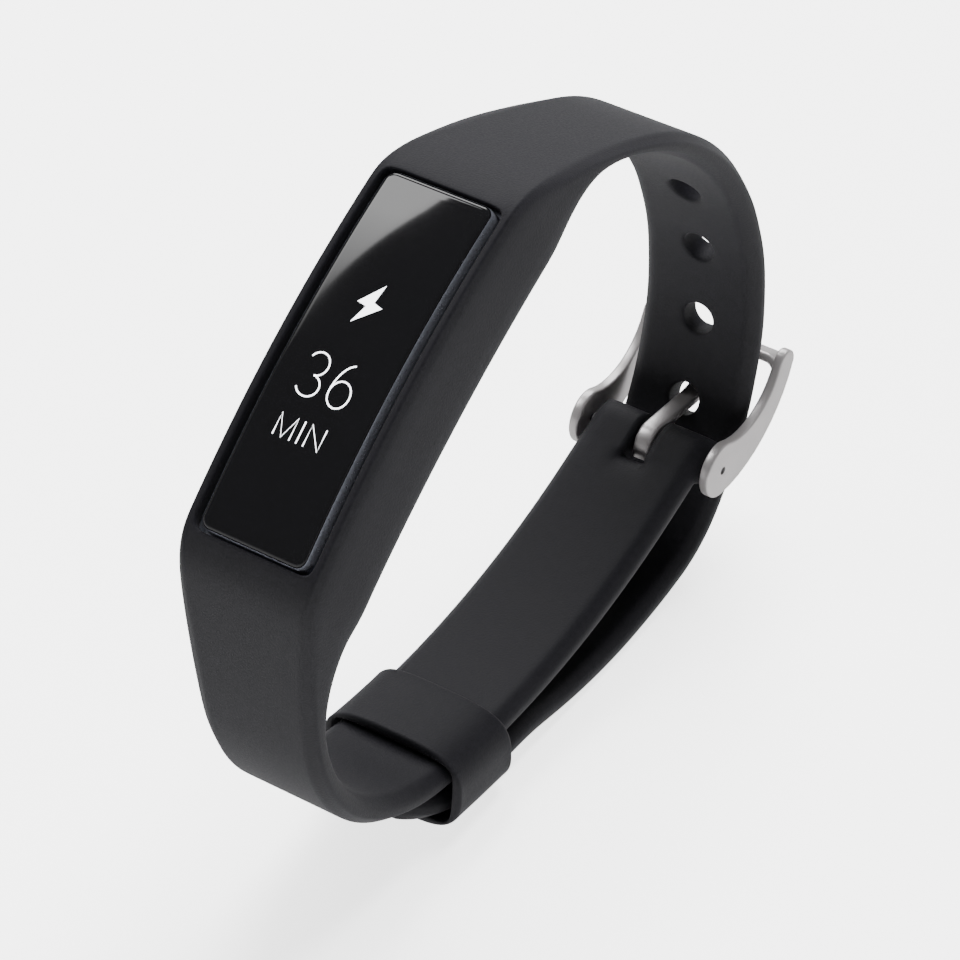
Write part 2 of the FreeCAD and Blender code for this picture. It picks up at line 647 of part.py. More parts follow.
cover = plate("cover_blank", FLANGE_L, FLANGE_W, "Sizes.cover_thickness", COVER_BASE,
              "Sizes.case_corner")
cover_holes = [pillar("cover_contact_hole%d" % i, "Sizes.contact_radius",
                      "Sizes.cover_thickness + 2 * Sizes.margin", cover_base - MARGIN, x, y)
               for i, (x, y) in enumerate(contact_places())]
for i, (x, y) in enumerate(screw_places()):
    cover_holes.append(pillar("cover_sink%d" % i, "Sizes.screw_head_radius",
                              "Sizes.screw_head_height + Sizes.margin",
                              cover_base - MARGIN, x, y))
    cover_holes.append(pillar("cover_screw_hole%d" % i, "Sizes.screw_radius",
                              "Sizes.cover_thickness + 2 * Sizes.margin",
                              cover_base - MARGIN, x, y))
node(cut("cover", cover, cover_holes), "back_cover")

gasket = plate("back_seal_blank", FLANGE_L, FLANGE_W, "Sizes.seal_gap", COVER_TOP,
               "Sizes.case_corner")
gasket_hole = plate("back_seal_hole", CAVITY_L, CAVITY_W, "Sizes.seal_gap + 2 * Sizes.margin",
                    COVER_TOP + " - Sizes.margin", "Sizes.glass_corner")
gasket_ports = [pillar("back_seal_port%d" % i, "Sizes.screw_radius",
                       "Sizes.seal_gap + 2 * Sizes.margin",
                       case_floor - size("seal_gap") - MARGIN, x, y)
                for i, (x, y) in enumerate(screw_places())]
node(cut("back_seal", gasket, [gasket_hole] + gasket_ports), "back_seal")

screws = []
for i, (x, y) in enumerate(screw_places()):
    head = pillar("screw_head%d" % i, "Sizes.screw_head_radius", "Sizes.screw_head_height",
                  cover_base, x, y)
    shank = pillar("screw_shank%d" % i, "Sizes.screw_radius",
                   "Sizes.cover_thickness + Sizes.seal_gap + Sizes.screw_length",
                   cover_base, x, y)
    screws.append(join("screw%d" % i, [head, shank]))
node(group("screws", screws), "cover_screws")

# ---------------------------------------------------------------- tracker: inside
node(plate("display_blank", BORE_L + " - 2 * Sizes.panel_clearance",
           BORE_W + " - 2 * Sizes.panel_clearance", "Sizes.panel_thickness", PANEL_BASE,
           "Sizes.panel_corner"), "display_panel")

INNER_L = CAVITY_L + " - 2 * Sizes.board_clearance"
INNER_W = CAVITY_W + " - 2 * Sizes.board_clearance"
chassis = plate("chassis_blank", INNER_L, INNER_W, "Sizes.chassis_thickness", CHASSIS_BASE,
                "Sizes.board_corner")
board = plate("board_blank", INNER_L, INNER_W, "Sizes.board_thickness", BOARD_BASE,
              "Sizes.board_corner")
inner_half = flange_half - size("end_block") - size("board_clearance")
flex_x = inner_half - size("flex_inset")
for blank, base, label in ((chassis, CHASSIS_BASE, "inner_chassis"),
                           (board, BOARD_BASE, "main_board")):
    slot = plate(label + "_slot", "Sizes.flex_slot_width", "Sizes.flex_width + 2 * Sizes.flex_gap",
                 "Sizes.board_thickness + 2 * Sizes.margin", base + " - Sizes.margin",
                 x=str(flex_x))
    node(cut(label, blank, [slot]), label)

flex_top = panel_base - size("stack_gap")
flex_low = board_base - size("flex_gap") - size("flex_thickness")
flex_half = size("flex_thickness") / 2.0
flex_foot = plate("flex_foot", "Sizes.flex_foot_length", "Sizes.flex_width",
                  "Sizes.flex_thickness", str(flex_low),
                  x=str(flex_x + flex_half - size("flex_foot_length") / 2.0))
flex_rise = plate("flex_rise", "Sizes.flex_thickness", "Sizes.flex_width",
                  str(flex_top - flex_low), str(flex_low), x=str(flex_x))
node(join("flex", [flex_foot, flex_rise]), "display_flex")

CHIPS = [("processor_chip", "Sizes.processor_side", "Sizes.processor_side",
          "Sizes.processor_height", "Sizes.processor_centre", "0"),
         ("radio_chip", "Sizes.radio_side", "Sizes.radio_side", "Sizes.chip_height",
          "Sizes.chip_centre", "Sizes.chip_spread"),
         ("motion_sensor", "Sizes.sensor_length", "Sizes.sensor_width", "Sizes.chip_height",
          "Sizes.chip_centre", "-Sizes.chip_spread")]
for label, length, width, height, x, y in CHIPS:
    node(plate(label + "_block", length, width, height, BOARD_BASE + " - " + height,
               "Sizes.chip_corner", x, y), label)

node(plate("cell", "Sizes.cell_length", INNER_W + " - 2 * Sizes.cell_gap",
           "Sizes.cell_thickness", BOARD_BASE + " - Sizes.cell_gap - Sizes.cell_thickness",
           "Sizes.cell_corner", "Sizes.cell_centre"), "battery_cell")
node(plate("antenna", "Sizes.antenna_thickness", INNER_W + " - 2 * Sizes.antenna_inset",
           "Sizes.antenna_height", BOARD_BASE + " - Sizes.antenna_height",
           x=str(size("antenna_inset") - inner_half)), "antenna_strip")

motor_x = size("motor_centre")
motor_z = case_floor + size("motor_radius")
motor_low = size("motor_start")
motor_shell = pillar("motor_shell", "Sizes.motor_radius", "Sizes.motor_length", motor_low,
                     motor_x, motor_z, across=True)
motor_hollow = pillar("motor_hollow", "Sizes.motor_radius - Sizes.motor_wall",
                      "Sizes.motor_length - 2 * Sizes.motor_wall",
                      motor_low + size("motor_wall"), motor_x, motor_z, across=True)
motor_bore = pillar("motor_bore", "Sizes.shaft_radius + Sizes.running_clearance",
                    "2 * Sizes.margin", motor_low + size("motor_length") - MARGIN,
                    motor_x, motor_z, across=True)
node(cut("motor", motor_shell, [motor_hollow, motor_bore]), "vibration_motor")


def motor_weight():
    """Shaft with its coil drum inside the can and a half-round weight outside it."""
    centre = Vector(motor_x, 0, motor_z)
    can_end = motor_low + size("motor_length")
    start = can_end + size("weight_gap")
    inside = motor_low + size("shaft_inset")
    half_round = [arc(centre, size("weight_radius"), -180.0, 0.0),
                  Part.LineSegment(polar(centre, size("weight_radius"), 0.0),
                                   polar(centre, size("weight_radius"), 180.0)).toShape()]
    weight = prism(half_round, start, start + size("weight_length"))
    hub = rod(centre, 2.0 * size("shaft_radius"), start, start + size("weight_length"))
    shaft = rod(centre, size("shaft_radius"), inside, start + size("weight_length"))
    drum = rod(centre, size("motor_radius") - size("motor_wall") - size("drum_gap"),
               inside, can_end - size("motor_wall") - 2.0 * size("drum_gap"))
    return weight.fuse([hub, shaft, drum]).removeSplitter()


made(motor_weight(), "motor_rotor")

contact_base = cover_base - size("contact_stand")
pins = [pillar("contact%d" % i, "Sizes.contact_radius",
               "Sizes.cover_thickness + 2 * Sizes.seal_gap", contact_base, x, y)
        for i, (x, y) in enumerate(contact_places())]
node(group("contact_pins", pins), "charging_contacts")
post_base = contact_base + size("cover_thickness") + 2.0 * size("seal_gap")
posts = [pillar("contact_post%d" % i, "Sizes.contact_radius / 2", str(board_base - post_base),
                post_base, x, y) for i, (x, y) in enumerate(contact_places())]
node(group("contact_posts", posts), "contact_springs")

# ---------------------------------------------------------------- check and write
doc.recompute()
for obj in doc.Objects:
    if "Invalid" in obj.State or "Error" in obj.State:
        raise RuntimeError("%s failed: %s" % (obj.Label, obj.State))
for obj in nodes:
    if obj.Shape.isNull() or not obj.Shape.isValid() or not obj.Shape.Solids:
        raise RuntimeError("%s has no sound solid" % obj.Label)
for obj in nodes:
    obj.Shape.exportStep("parts/%s.step" % obj.Label)
print("%d pieces written" % len(nodes))
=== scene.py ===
import json
import math

import bmesh
import bpy
from mathutils import Matrix, Vector


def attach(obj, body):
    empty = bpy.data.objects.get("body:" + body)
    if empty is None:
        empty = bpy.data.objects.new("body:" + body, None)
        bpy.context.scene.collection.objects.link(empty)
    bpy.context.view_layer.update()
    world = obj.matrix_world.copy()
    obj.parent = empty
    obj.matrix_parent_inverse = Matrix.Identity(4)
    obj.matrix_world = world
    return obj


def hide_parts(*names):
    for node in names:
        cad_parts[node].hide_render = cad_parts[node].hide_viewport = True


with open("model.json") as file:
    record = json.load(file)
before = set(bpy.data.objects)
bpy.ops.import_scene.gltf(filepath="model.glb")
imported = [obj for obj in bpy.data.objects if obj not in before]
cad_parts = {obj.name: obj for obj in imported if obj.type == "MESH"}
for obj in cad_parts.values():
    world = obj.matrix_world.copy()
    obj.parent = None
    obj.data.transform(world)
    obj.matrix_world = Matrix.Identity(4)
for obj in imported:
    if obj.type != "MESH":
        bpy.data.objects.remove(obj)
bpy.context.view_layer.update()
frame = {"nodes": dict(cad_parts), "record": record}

# The looks of a fitness tracker band. Shapes are worked out in millimetres in the tracker's
# own frame: x along the tracker towards the strap with the holes, y across the strap,
# z out of the glass, with the crown of the glass as origin. STANCE stands them up in metres.

MM = 0.001


# ---- stance, from the frame
BACK_FACE_X, BACK_FACE_Z = -2.0, -9.0
back_face = [m for m in frame["record"]["mounts"] if m["name"] == "back_face"][0]
tilt = math.atan2(back_face["axis"][0], -back_face["axis"][2])
TURN = Matrix.Rotation(-tilt, 4, "Y")
ORIGIN = Vector(back_face["pos_m"]) - TURN @ (Vector((BACK_FACE_X, 0, BACK_FACE_Z)) * MM)
STANCE = Matrix.Translation(ORIGIN) @ TURN @ Matrix.Scale(MM, 4)

# ---- the band's dimensions
STRAP_HALF, THICKNESS = 6.8, 2.8
STRAP_INNER = 31.5
STRAP_OUTER = STRAP_INNER + THICKNESS
FRAME_DEPTH, CROWN_DROP, CROWN_RADIUS = 9.2, 0.3, 115.0
FRAME_HALF_LOW, FRAME_HALF_HIGH = 9.2, 7.6
STRAP_CENTRE_X, PIN_DEPTH, PIN_ANGLE = 7.3, 4.2, -66.5
# Where the frame turns down: the radius, and the turn at either end.
CORNER, CORNER_UP, CORNER_DOWN = 5.0, 38.0, 46.0
# The skin side of the frame: its curve, how far that reaches, and the bends at its ends.
SKIN_RADIUS, SKIN_REACH_UP, SKIN_REACH_DOWN = 150.0, 22.0, 17.0
SKIN_BEND, SKIN_BEND_UP, SKIN_BEND_DOWN = 12.0, 45.0, 35.0
# The frame's extra width fades over these lengths, from a little inside the window's end.
FADE_LEAD, FADE_UP, FADE_DOWN = 2.0, 17.0, 14.0
BASE_INNER, BOSS_RADIUS, HEEL_OUTER = 80.0, 2.6, 22.3
BASE_OUTER = BASE_INNER + THICKNESS
BASE_ANGLE, HEEL_ANGLE = -97.1, -131.2
TAIL_GAP, TIP_ANGLE, TIP_ROUND = 0.95, -132.6, 5.5
TAIL_OUTER = BASE_OUTER + TAIL_GAP + THICKNESS
BEND_START, BEND_OUTER, BEND_TURN = -75.6, 14.0, 34.0
SAG_OUTER, RISE_OUTER = 60.0, 25.0
HOLE_RADIUS, HOLE_PITCH, FIRST_HOLE, TAIL_HOLE_START = 1.75, 9.2, -58.0, 2.3
WINDOW_HALF_LENGTH, WINDOW_HALF_WIDTH, LIP_DEPTH = 18.6, 6.5, 3.1
POCKET_HALF_LENGTH, POCKET_HALF_WIDTH = 19.3, 6.95
NOTCH_HALF, NOTCH_REACH = 1.35, 2.9

# Each cross-section of the band has columns 0 to 8 over its outside, from -y to +y, and
# 9 to 17 back along its inside. Column c lies over column LAST_COLUMN - c.
COLUMNS = 18
LAST_COLUMN = COLUMNS - 1
MIDDLE_COLUMNS = (4, 13)
SHOULDER, FOOT, SOFT_SHARE = 1.0, 1.1, 0.34
RIDGE, RIDGE_LOSS = 1.25, 0.85
# Where columns 3 and 5, then 2 and 6, lie across the strap, the window and the swollen end.
# Each hole sits in a square patch as wide as the first pair.
PATCH_HALF, EDGE_LINE = 2.6, 4.2
PATCH_SPREAD, EDGE_SPREAD = 2.0, 2.3
WINDOW_LINE, WINDOW_EDGE, BOSS_EDGE = 4.5, 6.75, 3.6
CLIMB_ROWS, HEEL_ROWS, RIM_LEAD = 12, 18, 0.25
TIP_RUNS, TIP_FLAT, TIP_LEAD = (0.0, 0.35, 1.2, 2.4, 3.9), 1.3, 0.1
WINDOW_PLACES, WINDOW_MARGIN = (12.0, 7.0, 2.4), 2.2
BOSS_RUNS = (-NOTCH_REACH, -2.7, -2.1, -1.4, -0.6, 0.4, 1.3, 2.0, 2.4, 2.55)
# The rim of a hole: how far outside the bore, and how deep. A ring of eight points has to
# stand out a little for its rounded form to have the hole's radius.
HOLE_RIM, OCTAGON_GROWTH = ((0.28, 0.0), (0.02, 0.16), (0.0, 0.5)), 1.108
# How firmly subdivision keeps the edges that run along the strap, by column.
FIRMNESS = {0: 0.5, 1: 0.6, 7: 0.6, 8: 0.5, 9: 0.3, 10: 0.3, 16: 0.3, 17: 0.3}


def polar(centre, radius, degrees):
    """Point at a distance and an angle from a centre."""
    angle = math.radians(degrees)
    return centre + Vector((math.cos(angle), math.sin(angle))) * radius


def angle_of(vector):
    return math.degrees(math.atan2(vector.y, vector.x))


def unwind(degrees, reference):
    """The same angle, by whole turns as near the reference as it gets."""
    return degrees + 360.0 * round((reference - degrees) / 360.0)


def crossing(a, radius_a, b, radius_b):
    """Where two circles cross, on the left of the way from a to b."""
    gap = b - a
    along = (radius_a ** 2 - radius_b ** 2 + gap.length_squared) / (2.0 * gap.length)
    away = math.sqrt(radius_a ** 2 - along ** 2)
    unit = gap.normalized()
    return a + unit * along + Vector((-unit.y, unit.x)) * away


# Centres in the plane of the loop: a 2-D vector holds x and z.
strap_centre = Vector((STRAP_CENTRE_X, -FRAME_DEPTH - CROWN_DROP - STRAP_INNER))
pin = polar(strap_centre, STRAP_INNER - PIN_DEPTH, PIN_ANGLE)
base_centre = polar(pin, -(BASE_INNER + BOSS_RADIUS), BASE_ANGLE)
heel_centre = polar(base_centre, BASE_OUTER - HEEL_OUTER, HEEL_ANGLE)
BEND_END = BEND_START - BEND_TURN
bend_centre = polar(strap_centre, STRAP_OUTER - BEND_OUTER, BEND_START)
sag_centre = polar(bend_centre, BEND_OUTER - SAG_OUTER, BEND_END)
rise_centre = crossing(sag_centre, SAG_OUTER + RISE_OUTER, base_centre, TAIL_OUTER + RISE_OUTER)
rise_to_sag = angle_of(sag_centre - rise_centre)
rise_to_base = unwind(angle_of(base_centre - rise_centre), rise_to_sag)
sag_low = unwind(rise_to_sag + 180.0, BEND_END)
tail_merge = unwind(rise_to_base + 180.0, TIP_ANGLE)
crown_centre = Vector((0.0, -CROWN_RADIUS))
skin_centre = Vector((0.0, -FRAME_DEPTH - SKIN_RADIUS))


class Chain:
    """A run of tangent arcs that can be asked for a point at a distance along it."""

    def __init__(self, arcs):
        self.arcs = arcs
        self.lengths = [abs(math.radians(a[3] - a[2])) * abs(a[1]) for a in arcs]
        self.total = sum(self.lengths)

    def at(self, distance):
        for arc, length in zip(self.arcs, self.lengths):
            if distance <= length or arc is self.arcs[-1]:
                centre, radius, start, end = arc
                return polar(centre, radius, start + (end - start) * distance / length)
            distance -= length

    def at_x(self, x):
        """Point of a chain that runs from high x to low x, at one value of x."""
        low, high = 0.0, self.total
        for _ in range(40):
            middle = (low + high) / 2.0
            if self.at(middle).x > x:
                low = middle
            else:
                high = middle
        return self.at(low)


def run_off(centre, radius, reach, bend_radius, turn, side, target, target_radius):
    """Arcs from the frame's end onto the strap, and the angles where they start and land."""
    frame_end = 90.0 - side * math.degrees(reach / radius)
    bend_stop = frame_end - side * turn
    bend_middle = polar(centre, radius - bend_radius, frame_end)
    start = polar(bend_middle, bend_radius, bend_stop)
    inward = -polar(Vector((0.0, 0.0)), 1.0, bend_stop)
    offset = start - target
    blend = ((target_radius ** 2 - offset.length_squared)
             / (2.0 * (offset.dot(inward) + target_radius)))
    blend_centre = start + inward * blend
    landing = unwind(angle_of((target - blend_centre) * (blend - target_radius)), bend_stop)
    return [(bend_middle, bend_radius, frame_end, bend_stop),
            (blend_centre, blend, bend_stop, landing)], frame_end, landing


def backwards(arcs):
    """The same arcs, run from their far end."""
    return [(c, r, end, start) for c, r, start, end in reversed(arcs)]


crown = CROWN_RADIUS - CROWN_DROP
upper, _, strap_top = run_off(crown_centre, crown, WINDOW_HALF_LENGTH, CORNER, CORNER_UP, 1,
                              strap_centre, STRAP_OUTER)
lower, _, heel_top = run_off(crown_centre, crown, WINDOW_HALF_LENGTH, CORNER, CORNER_DOWN, -1,
                             heel_centre, HEEL_OUTER)
inner_up, skin_up, strap_in = run_off(skin_centre, SKIN_RADIUS, SKIN_REACH_UP, SKIN_BEND,
                                      SKIN_BEND_UP, 1, strap_centre, STRAP_INNER)
inner_down, skin_down, heel_in = run_off(skin_centre, SKIN_RADIUS, SKIN_REACH_DOWN, SKIN_BEND,
                                         SKIN_BEND_DOWN, -1, heel_centre,
                                         HEEL_OUTER - THICKNESS)
LAST_STRAP = 2.0
heel_low = unwind(HEEL_ANGLE, 180.0)
climb_out = Chain([(strap_centre, STRAP_OUTER, LAST_STRAP, strap_top)] + backwards(upper))
climb_in = Chain([(strap_centre, STRAP_INNER, LAST_STRAP, strap_in)] + backwards(inner_up)
                 + [(skin_centre, SKIN_RADIUS, skin_up, 90.0)])
drop_in = Chain([(skin_centre, SKIN_RADIUS, 90.0, skin_down)] + inner_down)


# ---- sections of the band
def smooth(value):
    """Eases from 0 to 1."""
    value = min(1.0, max(0.0, value))
    return value * value * (3.0 - 2.0 * value)


def frame_share(x):
    """How much of the frame's extra width a section has, by its place along the tracker."""
    fade = FADE_UP if x >= 0 else FADE_DOWN
    return 1.0 - smooth((abs(x) - WINDOW_HALF_LENGTH + FADE_LEAD) / fade)


def section(outer, inner, share=0.0, line=PATCH_HALF, edge=EDGE_LINE, taper=1.0):
    """Cross-section of the band: nine points over the outside, then nine back inside."""
    depth = (outer - inner).length
    high = STRAP_HALF + share * (FRAME_HALF_HIGH - STRAP_HALF)
    low = STRAP_HALF + share * (FRAME_HALF_LOW - STRAP_HALF)
    shoulder = min(SHOULDER, depth * SOFT_SHARE)
    foot = min(FOOT, depth * SOFT_SHARE)
    ridge = RIDGE - RIDGE_LOSS * share
    over = [(high + (low - high) * shoulder / depth, shoulder), (high - ridge, 0.0),
            (edge, 0.0), (line, 0.0), (0.0, 0.0)]
    under = [(low, depth - foot), (low - FOOT, depth), (edge, depth), (line, depth),
             (0.0, depth)]
    points = []
    for half, flip in ((over, 1.0), (under, -1.0)):
        row = [(-y, d) for y, d in half] + [(y, d) for y, d in reversed(half[:-1])]
        points += row if flip > 0 else row[::-1]
    inward = (inner - outer).normalized()
    return [Vector(((outer + inward * d).x, y * taper, (outer + inward * d).y))
            for y, d in points]


def spreading_section(outer, inner, share):
    """Section between strap and frame, whose lines move out as the band widens."""
    spread = smooth(share * share)
    return section(outer, inner, share, PATCH_HALF + PATCH_SPREAD * spread,
                   EDGE_LINE + EDGE_SPREAD * spread)


def arc_sections(centre, outer_radius, inner_radius, start, end, count, **shape):
    """Sections along one arc, from start towards end, leaving the end out."""
    turns = [start + (end - start) * i / count for i in range(count)]
    return [section(polar(centre, outer_radius, a), polar(centre, inner_radius, a), **shape)
            for a in turns]


def hole_step(radius):
    """Half the length of the square patch of surface that each hole sits in, as an angle."""
    return math.degrees(PATCH_HALF / radius)


def hole_sections(rows, centre, outer_radius, inner_radius, angles, step):
    """Adds three sections at each hole, and gives the numbers of those through the holes."""
    holes = []
    for angle in angles:
        holes.append(len(rows) + 1)
        for turn in (-step, 0.0, step):
            rows += arc_sections(centre, outer_radius, inner_radius, angle + turn, angle, 1)
    return holes


def band_sections():
    """All the band's cross-sections from the tip of the free end to the spring bar, the
    numbers of those through a hole, and the numbers where the window and notch lie."""
    rows = []
    for run in TIP_RUNS:
        round_off = math.sqrt(TIP_ROUND ** 2 - (TIP_ROUND - run - TIP_LEAD) ** 2)
        taper = (TIP_FLAT + round_off) / STRAP_HALF
        angle = TIP_ANGLE + math.degrees(run / TAIL_OUTER)
        rows += arc_sections(base_centre, TAIL_OUTER, TAIL_OUTER - THICKNESS, angle, angle, 1,
                             taper=taper)
    rows += arc_sections(base_centre, TAIL_OUTER, TAIL_OUTER - THICKNESS,
                         TIP_ANGLE + math.degrees(TIP_ROUND / TAIL_OUTER), tail_merge, 5)
    rows += arc_sections(rise_centre, RISE_OUTER, RISE_OUTER + THICKNESS, rise_to_base,
                         rise_to_sag, 3)
    step = hole_step(SAG_OUTER)
    tail_holes = [BEND_END - math.degrees((TAIL_HOLE_START + i * HOLE_PITCH) / SAG_OUTER)
                  for i in (1, 0)]
    rows += arc_sections(sag_centre, SAG_OUTER, SAG_OUTER - THICKNESS, sag_low,
                         tail_holes[0] - step, 3)
    holes = hole_sections(rows, sag_centre, SAG_OUTER, SAG_OUTER - THICKNESS, tail_holes, step)
    rows += arc_sections(bend_centre, BEND_OUTER, BEND_OUTER - THICKNESS, BEND_END + 2.0,
                         BEND_START, 4)
    step = hole_step(STRAP_OUTER)
    pitch = math.degrees(HOLE_PITCH / STRAP_INNER)
    strap_holes = [FIRST_HOLE + i * pitch for i in range(4)]
    rows += arc_sections(strap_centre, STRAP_OUTER, STRAP_INNER, BEND_START,
                         strap_holes[0] - step, 3)
    holes += hole_sections(rows, strap_centre, STRAP_OUTER, STRAP_INNER, strap_holes, step)
    inner_length = climb_in.total - climb_in.lengths[-1] + 3.0
    for i in range(CLIMB_ROWS):
        outer = climb_out.at(climb_out.total * i / CLIMB_ROWS)
        inner = climb_in.at(inner_length * i / CLIMB_ROWS)
        rows.append(spreading_section(outer, inner, frame_share(outer.x)))
    window_start = len(rows)
    reach = WINDOW_HALF_LENGTH + RIM_LEAD
    places = [reach, reach - WINDOW_MARGIN, *WINDOW_PLACES]
    places += [-x for x in reversed(places)]
    crown_chain = Chain([(crown_centre, crown, 75.0, 105.0)])
    skin_chain = Chain(climb_in.arcs + drop_in.arcs)
    for x in places:
        rows.append(section(crown_chain.at_x(x), skin_chain.at_x(x), 1.0, WINDOW_LINE,
                            WINDOW_EDGE))
    window_end = len(rows) - 1
    heel_inner = HEEL_OUTER - THICKNESS
    out_turn = Chain(lower + [(heel_centre, HEEL_OUTER, heel_top, heel_low)])
    in_turn = Chain(drop_in.arcs + [(heel_centre, heel_inner, heel_in, heel_low)])
    skipped = (skin_chain.at_x(-reach) - Vector((0.0, -FRAME_DEPTH))).length
    for i in range(1, HEEL_ROWS):
        outer = out_turn.at(RIM_LEAD + (out_turn.total - RIM_LEAD) * i / HEEL_ROWS)
        inner = in_turn.at(skipped + (in_turn.total - skipped) * i / HEEL_ROWS)
        share = frame_share(outer.x) if outer.y > heel_centre.y else 0.0
        rows.append(spreading_section(outer, inner, share))
    notch_angle = BASE_ANGLE - math.degrees(NOTCH_REACH / BASE_INNER)
    rows += arc_sections(base_centre, BASE_OUTER, BASE_INNER, HEEL_ANGLE,
                         notch_angle - 1.0, 11)
    notch_start = len(rows)
    rows += [section(*boss_cut(run), line=NOTCH_HALF, edge=BOSS_EDGE) for run in BOSS_RUNS]
    return rows, holes, (window_start, window_end), notch_start


def boss_cut(run):
    """Outer and inner point of the strap's swollen end, at a distance past the spring bar."""
    along = Vector((-math.sin(math.radians(BASE_ANGLE)), math.cos(math.radians(BASE_ANGLE))))
    out = polar(Vector((0.0, 0.0)), 1.0, BASE_ANGLE)
    half = math.sqrt(max(0.0, BOSS_RADIUS ** 2 - run ** 2))
    inner = BOSS_RADIUS if run < 0 else half
    outer = max(half, THICKNESS - BOSS_RADIUS) if run < 0 else half
    return pin + along * run + out * outer, pin + along * run - out * inner


# ---- mesh helpers
def finish_mesh(name, bm, body, material, replaced=(), levels=0, angle=40.0):
    """Turns a bmesh in tracker millimetres into a smooth piece that rides on a body."""
    bmesh.ops.remove_doubles(bm, verts=bm.verts, dist=0.0005)
    bmesh.ops.recalc_face_normals(bm, faces=bm.faces)
    mesh = bpy.data.meshes.new(name)
    bm.to_mesh(mesh)
    bm.free()
    mesh.transform(STANCE)
    piece = bpy.data.objects.new(name, mesh)
    bpy.context.scene.collection.objects.link(piece)
    if levels:
        modifier = piece.modifiers.new("rounding", "SUBSURF")
        modifier.levels = levels
        modifier.render_levels = levels
        apply_modifiers(piece)
    piece.data.materials.clear()
    piece.data.materials.append(material)
    piece.data.shade_smooth()
    if not levels:
        piece.data.set_sharp_from_angle(angle=math.radians(angle))
    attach(piece, body)
    if replaced:
        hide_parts(*replaced)


def apply_modifiers(piece):
    """Makes a piece's modifiers part of its mesh."""
    graph = bpy.context.evaluated_depsgraph_get()
    result = bpy.data.meshes.new_from_object(piece.evaluated_get(graph))
    piece.modifiers.clear()
    piece.data = result


def hole_patch(bm, grid, row):
    """Round hole through the band at one row: an eight-sided ring inside each face's square
    patch, with a softened rim, joined by a wall."""
    outline = [(-1, 3), (-1, 4), (-1, 5), (0, 5), (1, 5), (1, 4), (1, 3), (0, 3)]
    rings = []
    for side in (0, 1):
        def vertex(step, line):
            return grid[row + step][line if side == 0 else LAST_COLUMN - line]
        centre = vertex(0, 4).co
        along = (vertex(1, 4).co - vertex(-1, 4).co).normalized()
        across = Vector((0.0, 1.0, 0.0))
        other = grid[row][MIDDLE_COLUMNS[1 - side]].co
        inward = (other - centre).normalized()
        border = [vertex(step, line) for step, line in outline]
        levels = []
        for grow, depth in HOLE_RIM:
            radius = HOLE_RADIUS * OCTAGON_GROWTH + grow
            ring = []
            for step, line in outline:
                turn = math.atan2(line - 4, step)
                level = vertex(step, 4).co - centre
                bow = level - along * level.dot(along)
                bow = bow * (radius * math.cos(turn) / PATCH_HALF) ** 2
                ring.append(bm.verts.new(centre + along * (radius * math.cos(turn))
                                         + across * (radius * math.sin(turn))
                                         + bow + inward * depth))
            levels.append(ring)
        band(bm, border, levels[0])
        band(bm, levels[0], levels[1])
        band(bm, levels[1], levels[2])
        rings.append(levels[2])
    band(bm, rings[0], rings[1])


def band(bm, ring_a, ring_b):
    """Quads between two closed rings of equal count."""
    count = len(ring_a)
    for i in range(count):
        j = (i + 1) % count
        bm.faces.new((ring_a[i], ring_a[j], ring_b[j], ring_b[i]))


def window_border(first, last, lines):
    """Closed walk round a rectangle of the grid, given its rows and its columns."""
    low, high = lines[0], lines[-1]
    walk = [(row, low) for row in range(first, last + 1)]
    walk += [(last, column) for column in lines[1:-1]]
    walk += [(row, high) for row in range(last, first - 1, -1)]
    walk += [(first, column) for column in reversed(lines[1:-1])]
    return walk


def window_patch(bm, grid, first, last):
    """The opening for the tracker: softened rim, wall down to the lip, wider pocket."""
    walk = window_border(first, last, [2, 3, 4, 5, 6])
    border = [grid[row][column] for row, column in walk]
    inside = [grid[row][LAST_COLUMN - column] for row, column in walk]

    def ring(reach, half, height):
        made = []
        for (row, column), top, bottom in zip(walk, border, inside):
            x = top.co.x
            if row in (first, last):
                x = math.copysign(reach, x)
            y = math.copysign(half, top.co.y) if column in (2, 6) else top.co.y
            made.append(bm.verts.new((x, y, height(x, top.co.z, bottom.co.z))))
        return made

    length, width = WINDOW_HALF_LENGTH, WINDOW_HALF_WIDTH
    rings = [border,
             ring(length + 0.06, width + 0.06, lambda x, top, low: top - 0.05),
             ring(length, width, lambda x, top, low: top - 0.3),
             ring(length, width, lambda x, top, low: -LIP_DEPTH + 0.25),
             ring(length + 0.05, width + 0.05, lambda x, top, low: -LIP_DEPTH),
             ring(POCKET_HALF_LENGTH, POCKET_HALF_WIDTH, lambda x, top, low: -LIP_DEPTH),
             ring(POCKET_HALF_LENGTH, POCKET_HALF_WIDTH, lambda x, top, low: low + 0.5),
             ring(POCKET_HALF_LENGTH, POCKET_HALF_WIDTH, lambda x, top, low: low + 0.1),
             inside]
    for ring_a, ring_b in zip(rings, rings[1:]):
        band(bm, ring_a, ring_b)


